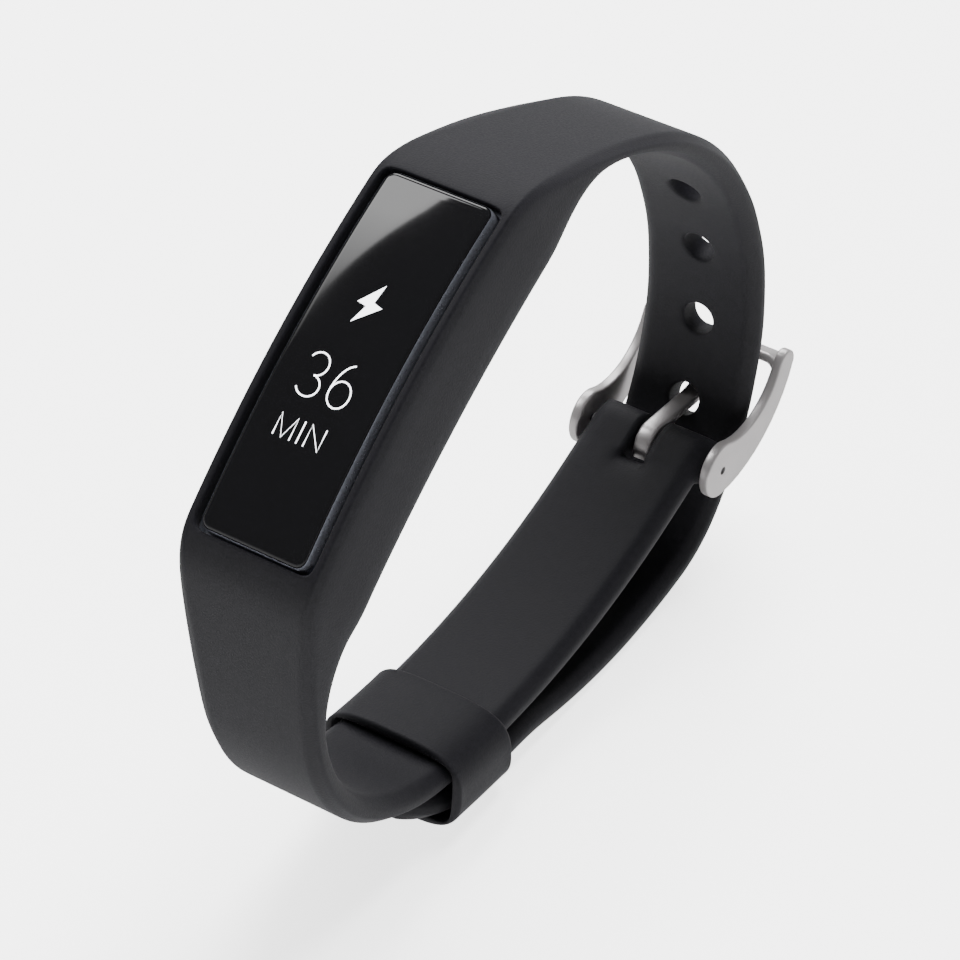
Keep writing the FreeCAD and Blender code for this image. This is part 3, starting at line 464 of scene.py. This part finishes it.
def silicone_band(material):
    """The one-piece strap: a cage of cross-sections, rounded by subdivision."""
    rows, holes, (first, last), notch = band_sections()
    bm = bmesh.new()
    grid = [[bm.verts.new(p) for p in row] for row in rows]
    count = len(grid)
    hollow = set()
    for row in holes:
        hollow |= {(row + step, column) for step in (-1, 0) for column in (3, 4, 12, 13)}
    hollow |= {(row, column) for row in range(first, last)
               for column in (2, 3, 4, 5, 11, 12, 13, 14)}
    hollow |= {(row, column) for row in range(notch, count - 1) for column in (3, 4, 12, 13)}
    for row in range(count - 1):
        for column in range(COLUMNS):
            if (row, column) not in hollow:
                near, far = grid[row], grid[row + 1]
                after = (column + 1) % COLUMNS
                bm.faces.new((near[column], near[after], far[after], far[column]))
    for row in range(notch, count - 1):
        for column in (3, 5):
            bm.faces.new((grid[row][column], grid[row + 1][column],
                          grid[row + 1][LAST_COLUMN - column], grid[row][LAST_COLUMN - column]))
    for columns, row in (((3, 4), notch), (range(8), 0), ((0, 1, 2), -1), ((5, 6, 7), -1)):
        for c in columns:
            bm.faces.new((grid[row][c], grid[row][c + 1], grid[row][LAST_COLUMN - c - 1],
                          grid[row][LAST_COLUMN - c]))
    for row in holes:
        hole_patch(bm, grid, row)
    window_patch(bm, grid, first, last)
    crease = bm.edges.layers.float.new("crease_edge")
    for column, amount in FIRMNESS.items():
        for row in range(count - 1):
            edge = bm.edges.get((grid[row][column], grid[row + 1][column]))
            if edge:
                edge[crease] = amount
    for row in range(notch, count - 1):
        for column in (3, 5, 12, 14):
            edge = bm.edges.get((grid[row][column], grid[row + 1][column]))
            if edge:
                edge[crease] = 1.0
    finish_mesh("silicone_band_moulding", bm, "band", material, ("silicone_band",),
                levels=2)


def keeper_loop(material):
    """Loop round both layers of strap: a closed tube of wall sections, rounded."""
    slack, side_gap, wall, middle = 0.2, 0.25, 1.15, -127.6
    end, bead, waist = 4.6, 0.3, 0.8
    # Distance along the strap, and the share of the wall that the surface stands out.
    profile = [(-end, 0.8), (bead - end, 1.1), (waist - end, 0.97), (0.0, 1.0),
               (end - waist, 0.97), (end - bead, 1.1), (end, 0.8), (end, 0.25),
               (end - bead, 0.0), (0.0, 0.0), (bead - end, 0.0), (-end, 0.25)]
    bm = bmesh.new()
    rings = []
    for along, share in profile:
        offset = wall * share
        low, high = BASE_INNER - slack - offset, TAIL_OUTER + slack + offset
        half = STRAP_HALF + side_gap + offset
        corner = 0.55 + 1.5 * offset
        right = [(0.0, high), (half - corner, high), (half, high - corner),
                 (half, (low + high) / 2.0), (half, low + corner), (half - corner, low),
                 (0.0, low)]
        loop = right + [(-y, r) for y, r in reversed(right[1:-1])]
        angle = middle + math.degrees(along / BASE_OUTER)
        points = [(polar(base_centre, r, angle), y) for y, r in loop]
        rings.append([bm.verts.new((p.x, y, p.y)) for p, y in points])
    for i in range(len(rings)):
        band(bm, rings[i], rings[(i + 1) % len(rings)])
    finish_mesh("keeper_loop_moulding", bm, "keeper", material, ("keeper_loop",),
                levels=3)


# ---- tracker
SIDE_PARTS = 24
GLASS_LENGTH, GLASS_WIDTH, GLASS_CORNER, GLASS_FOOT = 36.5, 11.3, 1.0, -2.2
# How far below the crown, and how far inside the outline, each ring of the glass's edge is.
# The last ones are flat, which keeps the reflection on the top straight.
GLASS_EDGE = ((0.22, 0.03), (0.12, 0.09), (0.05, 0.18), (0.01, 0.3), (0.0, 0.42), (0.0, 0.5),
              (0.0, 0.62))
CASE_LENGTH, CASE_WIDTH, CASE_CORNER, BAY_LENGTH, BAY_WIDTH = 36.8, 12.1, 1.3, 34.3, 9.1
FLANGE, FLANGE_TOP, FLANGE_SOFT, CASE_FOOT = 1.4, -3.2, 0.15, -7.85
SEAT, BAY_FLOOR = -2.35, -3.6


def rounded_outline(length, width, corner, steps=6):
    """Points round a rectangle with rounded corners, long sides divided for the crown."""
    half_l, half_w = length / 2.0 - corner, width / 2.0 - corner
    points = []
    for sign_x, sign_y, start in ((1, 1, 0.0), (-1, 1, 90.0), (-1, -1, 180.0), (1, -1, 270.0)):
        centre = Vector((sign_x * half_l, sign_y * half_w))
        points += [polar(centre, corner, start + 90.0 * i / steps) for i in range(steps + 1)]
        if start in (0.0, 180.0):
            side = [centre.x - 2.0 * centre.x * i / SIDE_PARTS for i in range(1, SIDE_PARTS)]
            points += [Vector((x, sign_y * width / 2.0)) for x in side]
    return points


def crown_height(x):
    """Height of the crowned surface at x, measured from its top."""
    return math.sqrt(CROWN_RADIUS ** 2 - x ** 2) - CROWN_RADIUS


def ring_levels(bm, levels):
    """Rings for a list of (length, width, corner, height, follows the crown)."""
    rings = []
    for length, width, corner, height, crowned in levels:
        outline = rounded_outline(length, width, corner)
        rings.append([bm.verts.new((p.x, p.y, height + (crown_height(p.x) if crowned else 0.0)))
                      for p in outline])
    for ring_a, ring_b in zip(rings, rings[1:]):
        band(bm, ring_a, ring_b)
    return rings


def close_ring(bm, ring):
    """Fills a ring that is symmetric about the long axis with strips across it."""
    bars = {}
    for vertex in ring:
        bars.setdefault(round(vertex.co.x, 4), []).append(vertex)
    columns = []
    for x in sorted(bars):
        ends = sorted(bars[x], key=lambda v: v.co.y)
        columns.append((ends[0], ends[-1]))
    for (low_a, high_a), (low_b, high_b) in zip(columns, columns[1:]):
        corners = [low_a, low_b, high_b, high_a]
        corners = [v for i, v in enumerate(corners) if v not in corners[:i]]
        if len(corners) > 2:
            bm.faces.new(corners)


def cover_lens(material):
    """Curved black glass with a polished edge."""
    levels = [(GLASS_LENGTH, GLASS_WIDTH, GLASS_CORNER, GLASS_FOOT, False)]
    for drop, inset in ((0.34, 0.0), *GLASS_EDGE):
        levels.append((GLASS_LENGTH - 2 * inset, GLASS_WIDTH - 2 * inset, GLASS_CORNER - inset,
                       -drop, True))
    bm = bmesh.new()
    rings = ring_levels(bm, levels)
    close_ring(bm, rings[0])
    close_ring(bm, rings[-1])
    finish_mesh("cover_lens_glass", bm, "tracker", material, ("cover_lens",),
                angle=60.0)


def tracker_case(material):
    """Dark metal shell: rim beside the glass, seat, bay and the wider flange."""
    length, width, corner = CASE_LENGTH, CASE_WIDTH, CASE_CORNER
    wide_l, wide_w = length + FLANGE, width + FLANGE
    cavity = (wide_l - 5.4, wide_w - 3.0, 1.0)
    bay = (BAY_LENGTH, BAY_WIDTH, 1.0)
    levels = [(wide_l, wide_w, corner, CASE_FOOT, False),
              (wide_l, wide_w, corner, -3.35, False),
              (wide_l - 0.3, wide_w - 0.3, corner - FLANGE_SOFT, FLANGE_TOP, False),
              (length, width, corner, FLANGE_TOP, False),
              (length, width, corner, -1.15, True),
              (length - 0.04, width - 0.08, corner - 0.04, -1.02, True),
              (length - 0.16, width - 0.6, corner - 0.2, -0.32, True),
              (36.58, 11.38, 1.0, -0.25, True),
              (36.54, 11.34, 1.0, SEAT, False),
              (*bay, SEAT, False), (*bay, BAY_FLOOR, False),
              (*cavity, BAY_FLOOR, False), (*cavity, CASE_FOOT, False)]
    bm = bmesh.new()
    rings = ring_levels(bm, levels)
    band(bm, rings[-1], rings[0])
    finish_mesh("tracker_case_shell", bm, "tracker", material, ("tracker_case",),
                angle=35.0)


READOUT_LIFT = 0.012


def stroke(bm, points, width, closed=False):
    """Thin ribbon on the glass along points given as (along, across) the reading direction."""
    pairs = []
    count = len(points)
    for i, (x, y) in enumerate(points):
        before = points[i - 1] if (i > 0 or closed) else points[i]
        after = points[(i + 1) % count] if (i < count - 1 or closed) else points[i]
        run = Vector((after[0] - before[0], after[1] - before[1])).normalized()
        side = Vector((-run.y, run.x)) * (width / 2.0)
        pairs.append([Vector((x, y)) + side, Vector((x, y)) - side])
    rows = [[bm.verts.new((p.x, p.y, crown_height(p.x) + READOUT_LIFT)) for p in pair]
            for pair in pairs]
    if closed:
        rows.append(rows[0])
    for a, b in zip(rows, rows[1:]):
        bm.faces.new((a[0], b[0], b[1], a[1]))


def curve_points(centre, radius_x, radius_y, start, end, count=20):
    """Points of an ellipse, x down the readout and y across it."""
    turns = [math.radians(start + (end - start) * i / count) for i in range(count + 1)]
    return [(centre[0] + radius_x * math.sin(t), centre[1] + radius_y * math.cos(t))
            for t in turns]


def readout(material):
    """Lit marks a hair above the glass: a charge sign, a two-figure number and its unit.
    The top of each mark is towards +x and its left side towards +y."""
    bm = bmesh.new()
    bolt = [(7.9, -0.45), (5.6, 1.4), (5.45, 0.4), (3.6, 1.05), (5.75, -1.2), (6.0, -0.2)]
    face = [bm.verts.new((x, y, crown_height(x) + READOUT_LIFT)) for x, y in bolt]
    bmesh.ops.triangulate(bm, faces=[bm.faces.new(face)])
    top, height, pen = 0.1, 4.3, 0.155
    three, six = 1.75, -1.5
    curves = (((top - 0.26 * height, three), 0.26 * height, -1.05, 155.0, -85.0),
              ((top - 0.755 * height, three), 0.245 * height, -1.15, 85.0, -155.0),
              ((top - 0.7 * height, six - 0.55), 0.7 * height, 1.65, 0.0, 80.0))
    for curve in curves:
        stroke(bm, curve_points(*curve), pen)
    ring = curve_points((top - 0.7 * height, six), 0.3 * height, 1.1, 0.0, 360.0)[:-1]
    stroke(bm, ring, pen, closed=True)
    high, low, pen = -6.2, -8.35, 0.135
    letters = (((low, 2.75), (high, 2.75), (low, 1.85), (high, 0.95), (low, 0.95)),
               ((low, 0.2), (high, 0.2)),
               ((low, -0.55), (high, -0.55), (low, -2.1), (high, -2.1)))
    for letter in letters:
        stroke(bm, letter, pen)
    finish_mesh("display_readout", bm, "tracker", material, ())


# ---- buckle
ARM_INNER = STRAP_HALF + 0.6
ARM_OUTER = ARM_INNER + 1.1
BAR_RADIUS, BAR_STANDOFF, ARM_END, PIN_HOLE = 1.35, 0.85, 3.0, 0.45
BAR_ANGLE, BAR_CORNER, ARM_SOFT, LOW_BOW, HIGH_BOW = -47.9, 1.5, 0.22, 2.6, 2.3
# Directions in which the arm's outline leaves its two ends, and the way out of its back.
PIN_LOW, PIN_HIGH, BAR_LOW, BAR_HIGH, ARM_BACK = 232.4, 37.4, -57.6, 122.4, 212.4
bar = polar(strap_centre, STRAP_OUTER + BAR_STANDOFF + BAR_RADIUS, BAR_ANGLE)


def bow(start, end, bulge, count=10):
    """Points of an arc between two points that bows to the right of its direction."""
    chord = end - start
    half = chord.length / 2.0
    radius = (half ** 2 + bulge ** 2) / (2.0 * bulge)
    right = Vector((chord.y, -chord.x)).normalized()
    centre = (start + end) / 2.0 - right * (radius - bulge)
    first = angle_of(start - centre)
    last = unwind(angle_of(end - centre), first)
    return [polar(centre, radius, first + (last - first) * i / count) for i in range(count + 1)]


def turned(centre, radius, start, end, count):
    """Points along an arc, both ends included."""
    return [polar(centre, radius, start + (end - start) * i / count) for i in range(count + 1)]


def soft_plate(bm, outline, low, high, edge, hole=()):
    """Plate of an outline between two values of y with a rounded edge all round, and a hole
    through it if points of one are given."""
    middle = sum(outline, Vector((0.0, 0.0))) / len(outline)
    count = len(outline)
    inward = []
    for i in range(count):
        run = (outline[(i + 1) % count] - outline[i - 1]).normalized()
        inward.append(Vector((run.y, -run.x)))
    if sum((p - middle).dot(n) for p, n in zip(outline, inward)) > 0:
        inward = [-n for n in inward]
    rings = []
    for turn in range(0, 91, 30):
        inset = edge * (1.0 - math.sin(math.radians(turn)))
        rise = edge * (1.0 - math.cos(math.radians(turn)))
        rings.append((inset, low + rise))
    rings += [(inset, high - (y - low)) for inset, y in reversed(rings)]
    loops = [[bm.verts.new(((p + n * inset).x, y, (p + n * inset).y))
              for p, n in zip(outline, inward)] for inset, y in rings]
    for a, b in zip(loops, loops[1:]):
        band(bm, a, b)
    if not hole:
        bm.faces.new(loops[0])
        bm.faces.new(loops[-1])
        return
    rims = [[bm.verts.new((p.x, y, p.y)) for p in hole] for y in (low, high)]
    band(bm, rims[0], rims[1])
    for loop, rim in zip((loops[0], loops[-1]), rims):
        edges = [bm.edges.get((ring[i - 1], ring[i])) for ring in (loop, rim)
                 for i in range(len(ring))]
        bmesh.ops.triangle_fill(bm, use_beauty=True, edges=edges)


def strip_along(bm, path, height, wide, thick, sides=32):
    """Bent strip along a path of 3-D points, its width along height, closed at both ends."""
    squareness, doming = 0.35, 0.6
    loops = []
    for i, point in enumerate(path):
        run = (path[min(i + 1, len(path) - 1)] - path[max(i - 1, 0)]).normalized()
        face = run.cross(height).normalized()
        loops.append([])
        for k in range(sides):
            cosine = math.cos(2.0 * math.pi * k / sides)
            sine = math.sin(2.0 * math.pi * k / sides)
            across = math.copysign(abs(cosine) ** squareness, cosine) * wide
            deep = math.copysign(abs(sine) ** doming, sine) * thick
            loops[-1].append(bm.verts.new(point + height * across + face * deep))
    for a, b in zip(loops, loops[1:]):
        band(bm, a, b)
    bm.faces.new(loops[0])
    bm.faces.new(loops[-1])


def buckle_frame(material):
    """Two tapered arms and a bar that turns into them with rounded corners."""
    bm = bmesh.new()
    low_pin, high_pin = polar(pin, ARM_END, PIN_LOW), polar(pin, ARM_END, PIN_HIGH)
    low_bar, high_bar = polar(bar, BAR_RADIUS, BAR_LOW), polar(bar, BAR_RADIUS, BAR_HIGH)
    outline = (bow(low_pin, low_bar, LOW_BOW)[:-1]
               + turned(bar, BAR_RADIUS, BAR_LOW, BAR_HIGH, 10)[:-1]
               + bow(high_pin, high_bar, HIGH_BOW)[:0:-1]
               + turned(pin, ARM_END, PIN_HIGH, PIN_LOW, 24)[:-1])
    for side in (-1.0, 1.0):
        low, high = sorted((side * ARM_INNER, side * ARM_OUTER))
        soft_plate(bm, outline, low, high, ARM_SOFT,
                   turned(pin, PIN_HOLE, 0.0, 360.0, 24)[:-1])
    back = polar(Vector((0.0, 0.0)), 1.0, ARM_BACK)
    path = []
    reach = (ARM_INNER + ARM_OUTER) / 2.0
    for k in range(13):
        turn = math.radians(90.0 * k / 12.0)
        inward = back * (BAR_CORNER * (1.0 - math.sin(turn)))
        path.append(Vector((bar.x + inward.x, -reach + BAR_CORNER * (1.0 - math.cos(turn)),
                            bar.y + inward.y)))
    path += [Vector((p.x, -p.y, p.z)) for p in reversed(path)]
    strip_along(bm, path, Vector((-back.y, 0.0, back.x)), 0.94 * BAR_RADIUS,
                (ARM_OUTER - ARM_INNER) / 2.0 - 0.01)
    finish_mesh("buckle_frame_steel", bm, "buckle_frame", material, ("buckle_frame",),
                angle=50.0)


def buckle_tongue(material):
    """Ring round the spring bar and a cranked prong with softened edges."""
    half, half_thick, ring_radius, bore = 1.0, 0.5, 1.6, 0.8
    stand, corner, curl_turn, soft = 1.95, 1.9, 100.0, 0.15
    crank = polar(strap_centre, STRAP_OUTER + 0.1, FIRST_HOLE + 0.9)
    lean = (crank - pin).normalized()
    heel = pin + Vector((-lean.y, lean.x)) * stand
    reach = bar - crank
    clear = BAR_RADIUS + half_thick + 0.02
    slope = angle_of(reach) - math.degrees(math.asin(clear / reach.length))
    tip = polar(crank, math.sqrt(reach.length_squared - clear ** 2) + 1.6, slope)
    first, second = (crank - heel).normalized(), (tip - crank).normalized()
    before, after = crank - first * corner, crank + second * corner
    knee = [before.lerp(crank, t / 8.0).lerp(crank.lerp(after, t / 8.0), t / 8.0)
            for t in range(9)]
    heel_turn = angle_of(heel - pin)
    curl = turned(pin, (heel - pin).length, heel_turn + curl_turn, heel_turn, 10)[:-1]
    line = curl + [heel] + knee + [tip]
    upper, lower = [], []
    for i, point in enumerate(line):
        run = (line[min(i + 1, len(line) - 1)] - line[max(i - 1, 0)]).normalized()
        side = Vector((-run.y, run.x)) * half_thick
        upper.append(point + side)
        lower.append(point - side)
    nose = [polar(tip, half_thick, slope + 90.0 - 180.0 * k / 6.0) for k in range(1, 6)]
    bm = bmesh.new()
    soft_plate(bm, upper + nose + lower[::-1], -half, half, 0.34)
    outer = turned(pin, ring_radius, 0.0, 360.0, 40)[:-1]
    inner = turned(pin, bore, 0.0, 360.0, 40)[:-1]
    levels = [(inner, -half, 0.0), (outer, -half, soft), (outer, soft - half, 0.0),
              (outer, half - soft, 0.0), (outer, half, soft), (inner, half, 0.0)]
    loops = []
    for ring, y, inset in levels:
        shrink = 1.0 - inset / ring_radius
        loops.append([bm.verts.new((pin.x + (p.x - pin.x) * shrink, y,
                                    pin.y + (p.y - pin.y) * shrink)) for p in ring])
    for i in range(len(loops)):
        band(bm, loops[i], loops[(i + 1) % len(loops)])
    finish_mesh("buckle_tongue_steel", bm, "buckle_tongue", material, ("buckle_tongue",),
                angle=50.0)


# ---- materials
NOISE_LOW, NOISE_HIGH = 0.3, 0.7


def new_material(name, colour, roughness, metallic=0.0):
    """Material, its node tree and its shader, with the constants set."""
    material = bpy.data.materials.new(name)
    material.use_nodes = True
    shader = material.node_tree.nodes["Principled BSDF"]
    shader.inputs["Base Color"].default_value = (*colour, 1.0)
    shader.inputs["Roughness"].default_value = roughness
    shader.inputs["Metallic"].default_value = metallic
    return material, material.node_tree, shader


def noise(tree, scale, detail=3.0, stretch=None):
    """Noise in object space; stretch squeezes it along chosen axes, as brushing does."""
    coordinates = tree.nodes.new("ShaderNodeTexCoord")
    texture = tree.nodes.new("ShaderNodeTexNoise")
    texture.inputs["Scale"].default_value = scale
    texture.inputs["Detail"].default_value = detail
    source = coordinates.outputs["Object"]
    if stretch:
        mapping = tree.nodes.new("ShaderNodeMapping")
        mapping.inputs["Scale"].default_value = stretch
        tree.links.new(source, mapping.inputs["Vector"])
        source = mapping.outputs["Vector"]
    tree.links.new(source, texture.inputs["Vector"])
    return texture.outputs["Fac"]


def vary(tree, factor, low, high, socket):
    """Feeds a number socket between two values from a noise factor."""
    remap(tree, factor, (NOISE_LOW, NOISE_HIGH, low, high), socket)


def remap(tree, value, limits, socket):
    """Feeds a socket from a value, with one range laid over another."""
    scale = tree.nodes.new("ShaderNodeMapRange")
    for name, limit in zip(("From Min", "From Max", "To Min", "To Max"), limits):
        scale.inputs[name].default_value = limit
    tree.links.new(value, scale.inputs["Value"])
    tree.links.new(scale.outputs["Result"], socket)


def tint(tree, factor, dark, light, socket):
    """Feeds a colour socket between two colours from a noise factor."""
    ramp = tree.nodes.new("ShaderNodeValToRGB")
    stops = zip(ramp.color_ramp.elements, (NOISE_LOW, NOISE_HIGH), (dark, light))
    for stop, position, colour in stops:
        stop.position, stop.color = position, (*colour, 1.0)
    tree.links.new(factor, ramp.inputs["Fac"])
    tree.links.new(ramp.outputs["Color"], socket)


def bump(tree, factor, strength, distance, shader):
    """Roughens a shader's normal by a factor, to a depth in metres."""
    node = tree.nodes.new("ShaderNodeBump")
    node.inputs["Strength"].default_value = strength
    node.inputs["Distance"].default_value = distance
    tree.links.new(factor, node.inputs["Height"])
    tree.links.new(node.outputs["Normal"], shader.inputs["Normal"])


def silicone():
    """Moulded silicone: charcoal, matt, with the fine grain of its mould."""
    material, tree, shader = new_material("silicone", (0.0068, 0.0066, 0.0086), 0.6)
    grain = noise(tree, 5200.0, 2.0)
    tint(tree, grain, (0.0046, 0.0044, 0.0060), (0.0092, 0.0090, 0.0116),
         shader.inputs["Base Color"])
    vary(tree, grain, 0.56, 0.68, shader.inputs["Roughness"])
    bump(tree, grain, 0.55, 0.00005, shader)
    shader.inputs["Specular IOR Level"].default_value = 0.3
    shader.inputs["Sheen Weight"].default_value = 0.03
    shader.inputs["Sheen Roughness"].default_value = 0.5
    return material


def satin_steel(name, colour=(0.63, 0.605, 0.605), low=0.3, high=0.4):
    """Stainless steel with short fine brushing."""
    material, tree, shader = new_material(name, colour, low, 0.8)
    lines = noise(tree, 9000.0, 3.0, (1.0, 0.06, 1.0))
    vary(tree, lines, low, high, shader.inputs["Roughness"])
    bump(tree, lines, 0.03, 0.000005, shader)
    tint(tree, noise(tree, 300.0, 2.0), tuple(c * 0.94 for c in colour), colour,
         shader.inputs["Base Color"])
    return material


def case_metal():
    """Dark blasted and anodised shell."""
    material, tree, shader = new_material("case_metal", (0.40, 0.42, 0.49), 0.34, 0.8)
    grain = noise(tree, 7000.0, 2.0)
    vary(tree, grain, 0.26, 0.38, shader.inputs["Roughness"])
    tint(tree, noise(tree, 150.0, 2.0), (0.32, 0.335, 0.39), (0.335, 0.35, 0.41),
         shader.inputs["Base Color"])
    bump(tree, grain, 0.04, 0.000006, shader)
    return material


def black_glass():
    """Glossy cover glass, printed black behind."""
    material, tree, shader = new_material("black_glass", (0.0035, 0.0035, 0.0042), 0.03)
    smear = noise(tree, 60.0)
    vary(tree, smear, 0.02, 0.045, shader.inputs["Roughness"])
    shader.inputs["IOR"].default_value = 1.5
    shader.inputs["Coat Weight"].default_value = 0.35
    shader.inputs["Coat Roughness"].default_value = 0.02
    return material


def lit_marks():
    """White marks that glow."""
    material, tree, shader = new_material("lit_marks", (0.9, 0.9, 0.92), 0.5)
    shader.inputs["Emission Color"].default_value = (0.95, 0.96, 1.0, 1.0)
    vary(tree, noise(tree, 500.0, 1.0), 3.4, 3.7, shader.inputs["Emission Strength"])
    return material


def moulded(name, dark, light, roughness, scale=900.0, metallic=0.0):
    """Plain moulded, plated or printed surface with fine mottling."""
    material, tree, shader = new_material(name, light, roughness, metallic)
    fleck = noise(tree, scale)
    tint(tree, fleck, dark, light, shader.inputs["Base Color"])
    vary(tree, fleck, roughness * 0.85, min(1.0, roughness * 1.15), shader.inputs["Roughness"])
    bump(tree, fleck, 0.15, 0.00002, shader)
    return material


def dress_cad_nodes():
    """Gives every CAD piece that stays in view its own surface."""
    steel = satin_steel("bar_steel", (0.62, 0.62, 0.63), 0.22, 0.34)
    dark_steel = satin_steel("screw_steel", (0.16, 0.16, 0.17), 0.3, 0.42)
    rubber = moulded("seal_rubber", (0.012, 0.012, 0.013), (0.02, 0.02, 0.021), 0.75)
    cover = moulded("cover_plastic", (0.013, 0.013, 0.016), (0.02, 0.02, 0.023), 0.48, 3500.0)
    board = moulded("circuit_board", (0.006, 0.045, 0.022), (0.01, 0.065, 0.032), 0.4)
    film = moulded("flex_film", (0.28, 0.13, 0.03), (0.38, 0.19, 0.05), 0.35)
    epoxy = moulded("chip_black", (0.012, 0.012, 0.013), (0.02, 0.02, 0.022), 0.55)
    pouch = moulded("cell_pouch", (0.5, 0.51, 0.53), (0.6, 0.61, 0.63), 0.3, 400.0, 0.9)
    panel = moulded("panel_glass", (0.008, 0.008, 0.012), (0.014, 0.014, 0.02), 0.12)
    gold = moulded("gold_plate", (0.68, 0.46, 0.16), (0.8, 0.56, 0.22), 0.24, 1500.0, 1.0)
    dressed = {"spring_bar_tube": steel, "spring_bar_tip_near": dark_steel,
               "spring_bar_tip_far": dark_steel, "spring_bar_spring": steel,
               "cover_screws": dark_steel, "lens_seal": rubber, "back_seal": rubber,
               "back_cover": cover, "inner_chassis": cover, "display_panel": panel,
               "main_board": board, "display_flex": film, "processor_chip": epoxy,
               "radio_chip": epoxy, "motion_sensor": epoxy, "battery_cell": pouch,
               "vibration_motor": steel, "motor_rotor": steel, "charging_contacts": gold,
               "contact_springs": gold, "antenna_strip": gold}
    for name, material in dressed.items():
        mesh = frame["nodes"][name].data
        mesh.materials.clear()
        mesh.materials.append(material)


# ---- studio
def studio():
    """Pale floor that glows, a graded sky, a wide lamp and two soft boxes. Glossy rays don't
    see the floor or the wide lamp, so that dark silicone stays dark."""
    bpy.ops.mesh.primitive_plane_add(size=6.0, location=(0.0, 0.0, 0.0))
    floor = bpy.context.object
    floor.name = "studio_floor"
    material, tree, shader = new_material("studio_floor", (0.93, 0.93, 0.93), 0.6)
    tint(tree, noise(tree, 3.0, 1.0), (0.925, 0.925, 0.925), (0.935, 0.935, 0.935),
         shader.inputs["Base Color"])
    shader.inputs["Specular IOR Level"].default_value = 0.1
    shader.inputs["Emission Color"].default_value = (1.0, 1.0, 1.0, 1.0)
    shader.inputs["Emission Strength"].default_value = 2.6
    floor.data.materials.append(material)
    floor.visible_glossy = False
    graded_sky()
    wide = add_lamp("wide_lamp", "SUN", 8.5)
    wide.data.angle = math.radians(42.0)
    wide.rotation_euler = facing(Vector((0.5, 0.12, 1.0)))
    wide.visible_glossy = False
    metal_place = Vector((0.36, 0.26, 0.38))
    metal = soft_box("metal_box", (0.30, 0.30), 1.3)
    metal.location = metal_place
    metal.rotation_euler = facing(metal_place - Vector((0.0, 0.0, 0.04)))
    glass_box()


def graded_sky():
    """White surroundings, bright low down and dim above."""
    world = bpy.data.worlds.new("studio_air")
    bpy.context.scene.world = world
    world.use_nodes = True
    tree = world.node_tree
    background = tree.nodes["Background"]
    background.inputs["Color"].default_value = (1.0, 1.0, 1.0, 1.0)
    direction = tree.nodes.new("ShaderNodeTexCoord")
    split = tree.nodes.new("ShaderNodeSeparateXYZ")
    tree.links.new(direction.outputs["Generated"], split.inputs["Vector"])
    remap(tree, split.outputs["Z"], (-0.1, 0.25, 0.75, 0.12), background.inputs["Strength"])


def facing(direction):
    """Rotation of a light that shines back along a direction."""
    return direction.to_track_quat("Z", "Y").to_euler()


def add_lamp(name, kind, power):
    """Light, linked to the scene."""
    light = bpy.data.lights.new(name, kind)
    light.energy = power
    lamp = bpy.data.objects.new(name, light)
    bpy.context.scene.collection.objects.link(lamp)
    return lamp


def soft_box(name, sides, power):
    """Rectangular light, yet to be placed."""
    lamp = add_lamp(name, "AREA", power)
    lamp.data.shape = "RECTANGLE"
    lamp.data.size, lamp.data.size_y = sides
    return lamp


def mirrored(x, y, distance):
    """Place at a distance that the camera sees in the glass at a point of the glass."""
    turn = TURN.to_3x3()
    point = ORIGIN + turn @ (Vector((x, y, crown_height(x))) * MM)
    normal = (turn @ Vector((x, 0.0, CROWN_RADIUS + crown_height(x)))).normalized()
    sight = (point - bpy.context.scene.camera.location).normalized()
    return point + sight.reflect(normal) * distance


def glass_box():
    """Soft box whose lower edge crosses the glass from its top to its left side."""
    reach, depth, overhang, high, left = 0.40, 0.20, 0.12, 17.5, 5.65
    top, side = mirrored(high, -1.0, reach), mirrored(-3.0, left, reach)
    middle = (top + side) / 2.0
    run = (side - top).normalized()
    away = middle - ORIGIN
    away = (away - run * away.dot(run)).normalized()
    rise = away.cross(run)
    if rise.dot(mirrored(high, left, reach) - top) < 0.0:
        run, rise = -run, -rise
    lamp = soft_box("glass_box", ((side - top).length + overhang, depth), 1.1)
    lamp.data.use_nodes = True
    tree = lamp.data.node_tree
    surface = tree.nodes.new("ShaderNodeNewGeometry")
    split = tree.nodes.new("ShaderNodeSeparateXYZ")
    tree.links.new(surface.outputs["Parametric"], split.inputs["Vector"])
    vary(tree, split.outputs["X"], 0.0, 1.0, tree.nodes["Emission"].inputs["Strength"])
    axes = Matrix((run, rise, away)).transposed().to_4x4()
    lamp.matrix_world = Matrix.Translation(middle + rise * (depth / 2.0)) @ axes


def photo_camera():
    """The viewing angle: azimuth and elevation round a point of the middle plane."""
    azimuth, elevation, roll = math.radians(-54.66), math.radians(39.92), math.radians(-1.39)
    target, distance = Vector((-0.00456, 0.0, 0.03069)), 0.3947
    back = Vector((math.sin(azimuth) * math.cos(elevation),
                   -math.cos(azimuth) * math.cos(elevation), math.sin(elevation)))
    data = bpy.data.cameras.new("photo_camera")
    data.lens, data.sensor_width = 154.7, 36.0
    data.clip_start, data.clip_end = 0.01, 20.0
    camera = bpy.data.objects.new("photo_camera", data)
    camera.location = target + back * distance
    turn = back.to_track_quat("Z", "Y").to_matrix().to_4x4() @ Matrix.Rotation(roll, 4, "Z")
    camera.rotation_euler = turn.to_euler()
    bpy.context.scene.collection.objects.link(camera)
    bpy.context.scene.camera = camera


photo_camera()
studio()
rubber_band = silicone()
silicone_band(rubber_band)
keeper_loop(rubber_band)
cover_lens(black_glass())
tracker_case(case_metal())
readout(lit_marks())
buckle = satin_steel("buckle_steel")
buckle_frame(buckle)
buckle_tongue(buckle)
dress_cad_nodes()
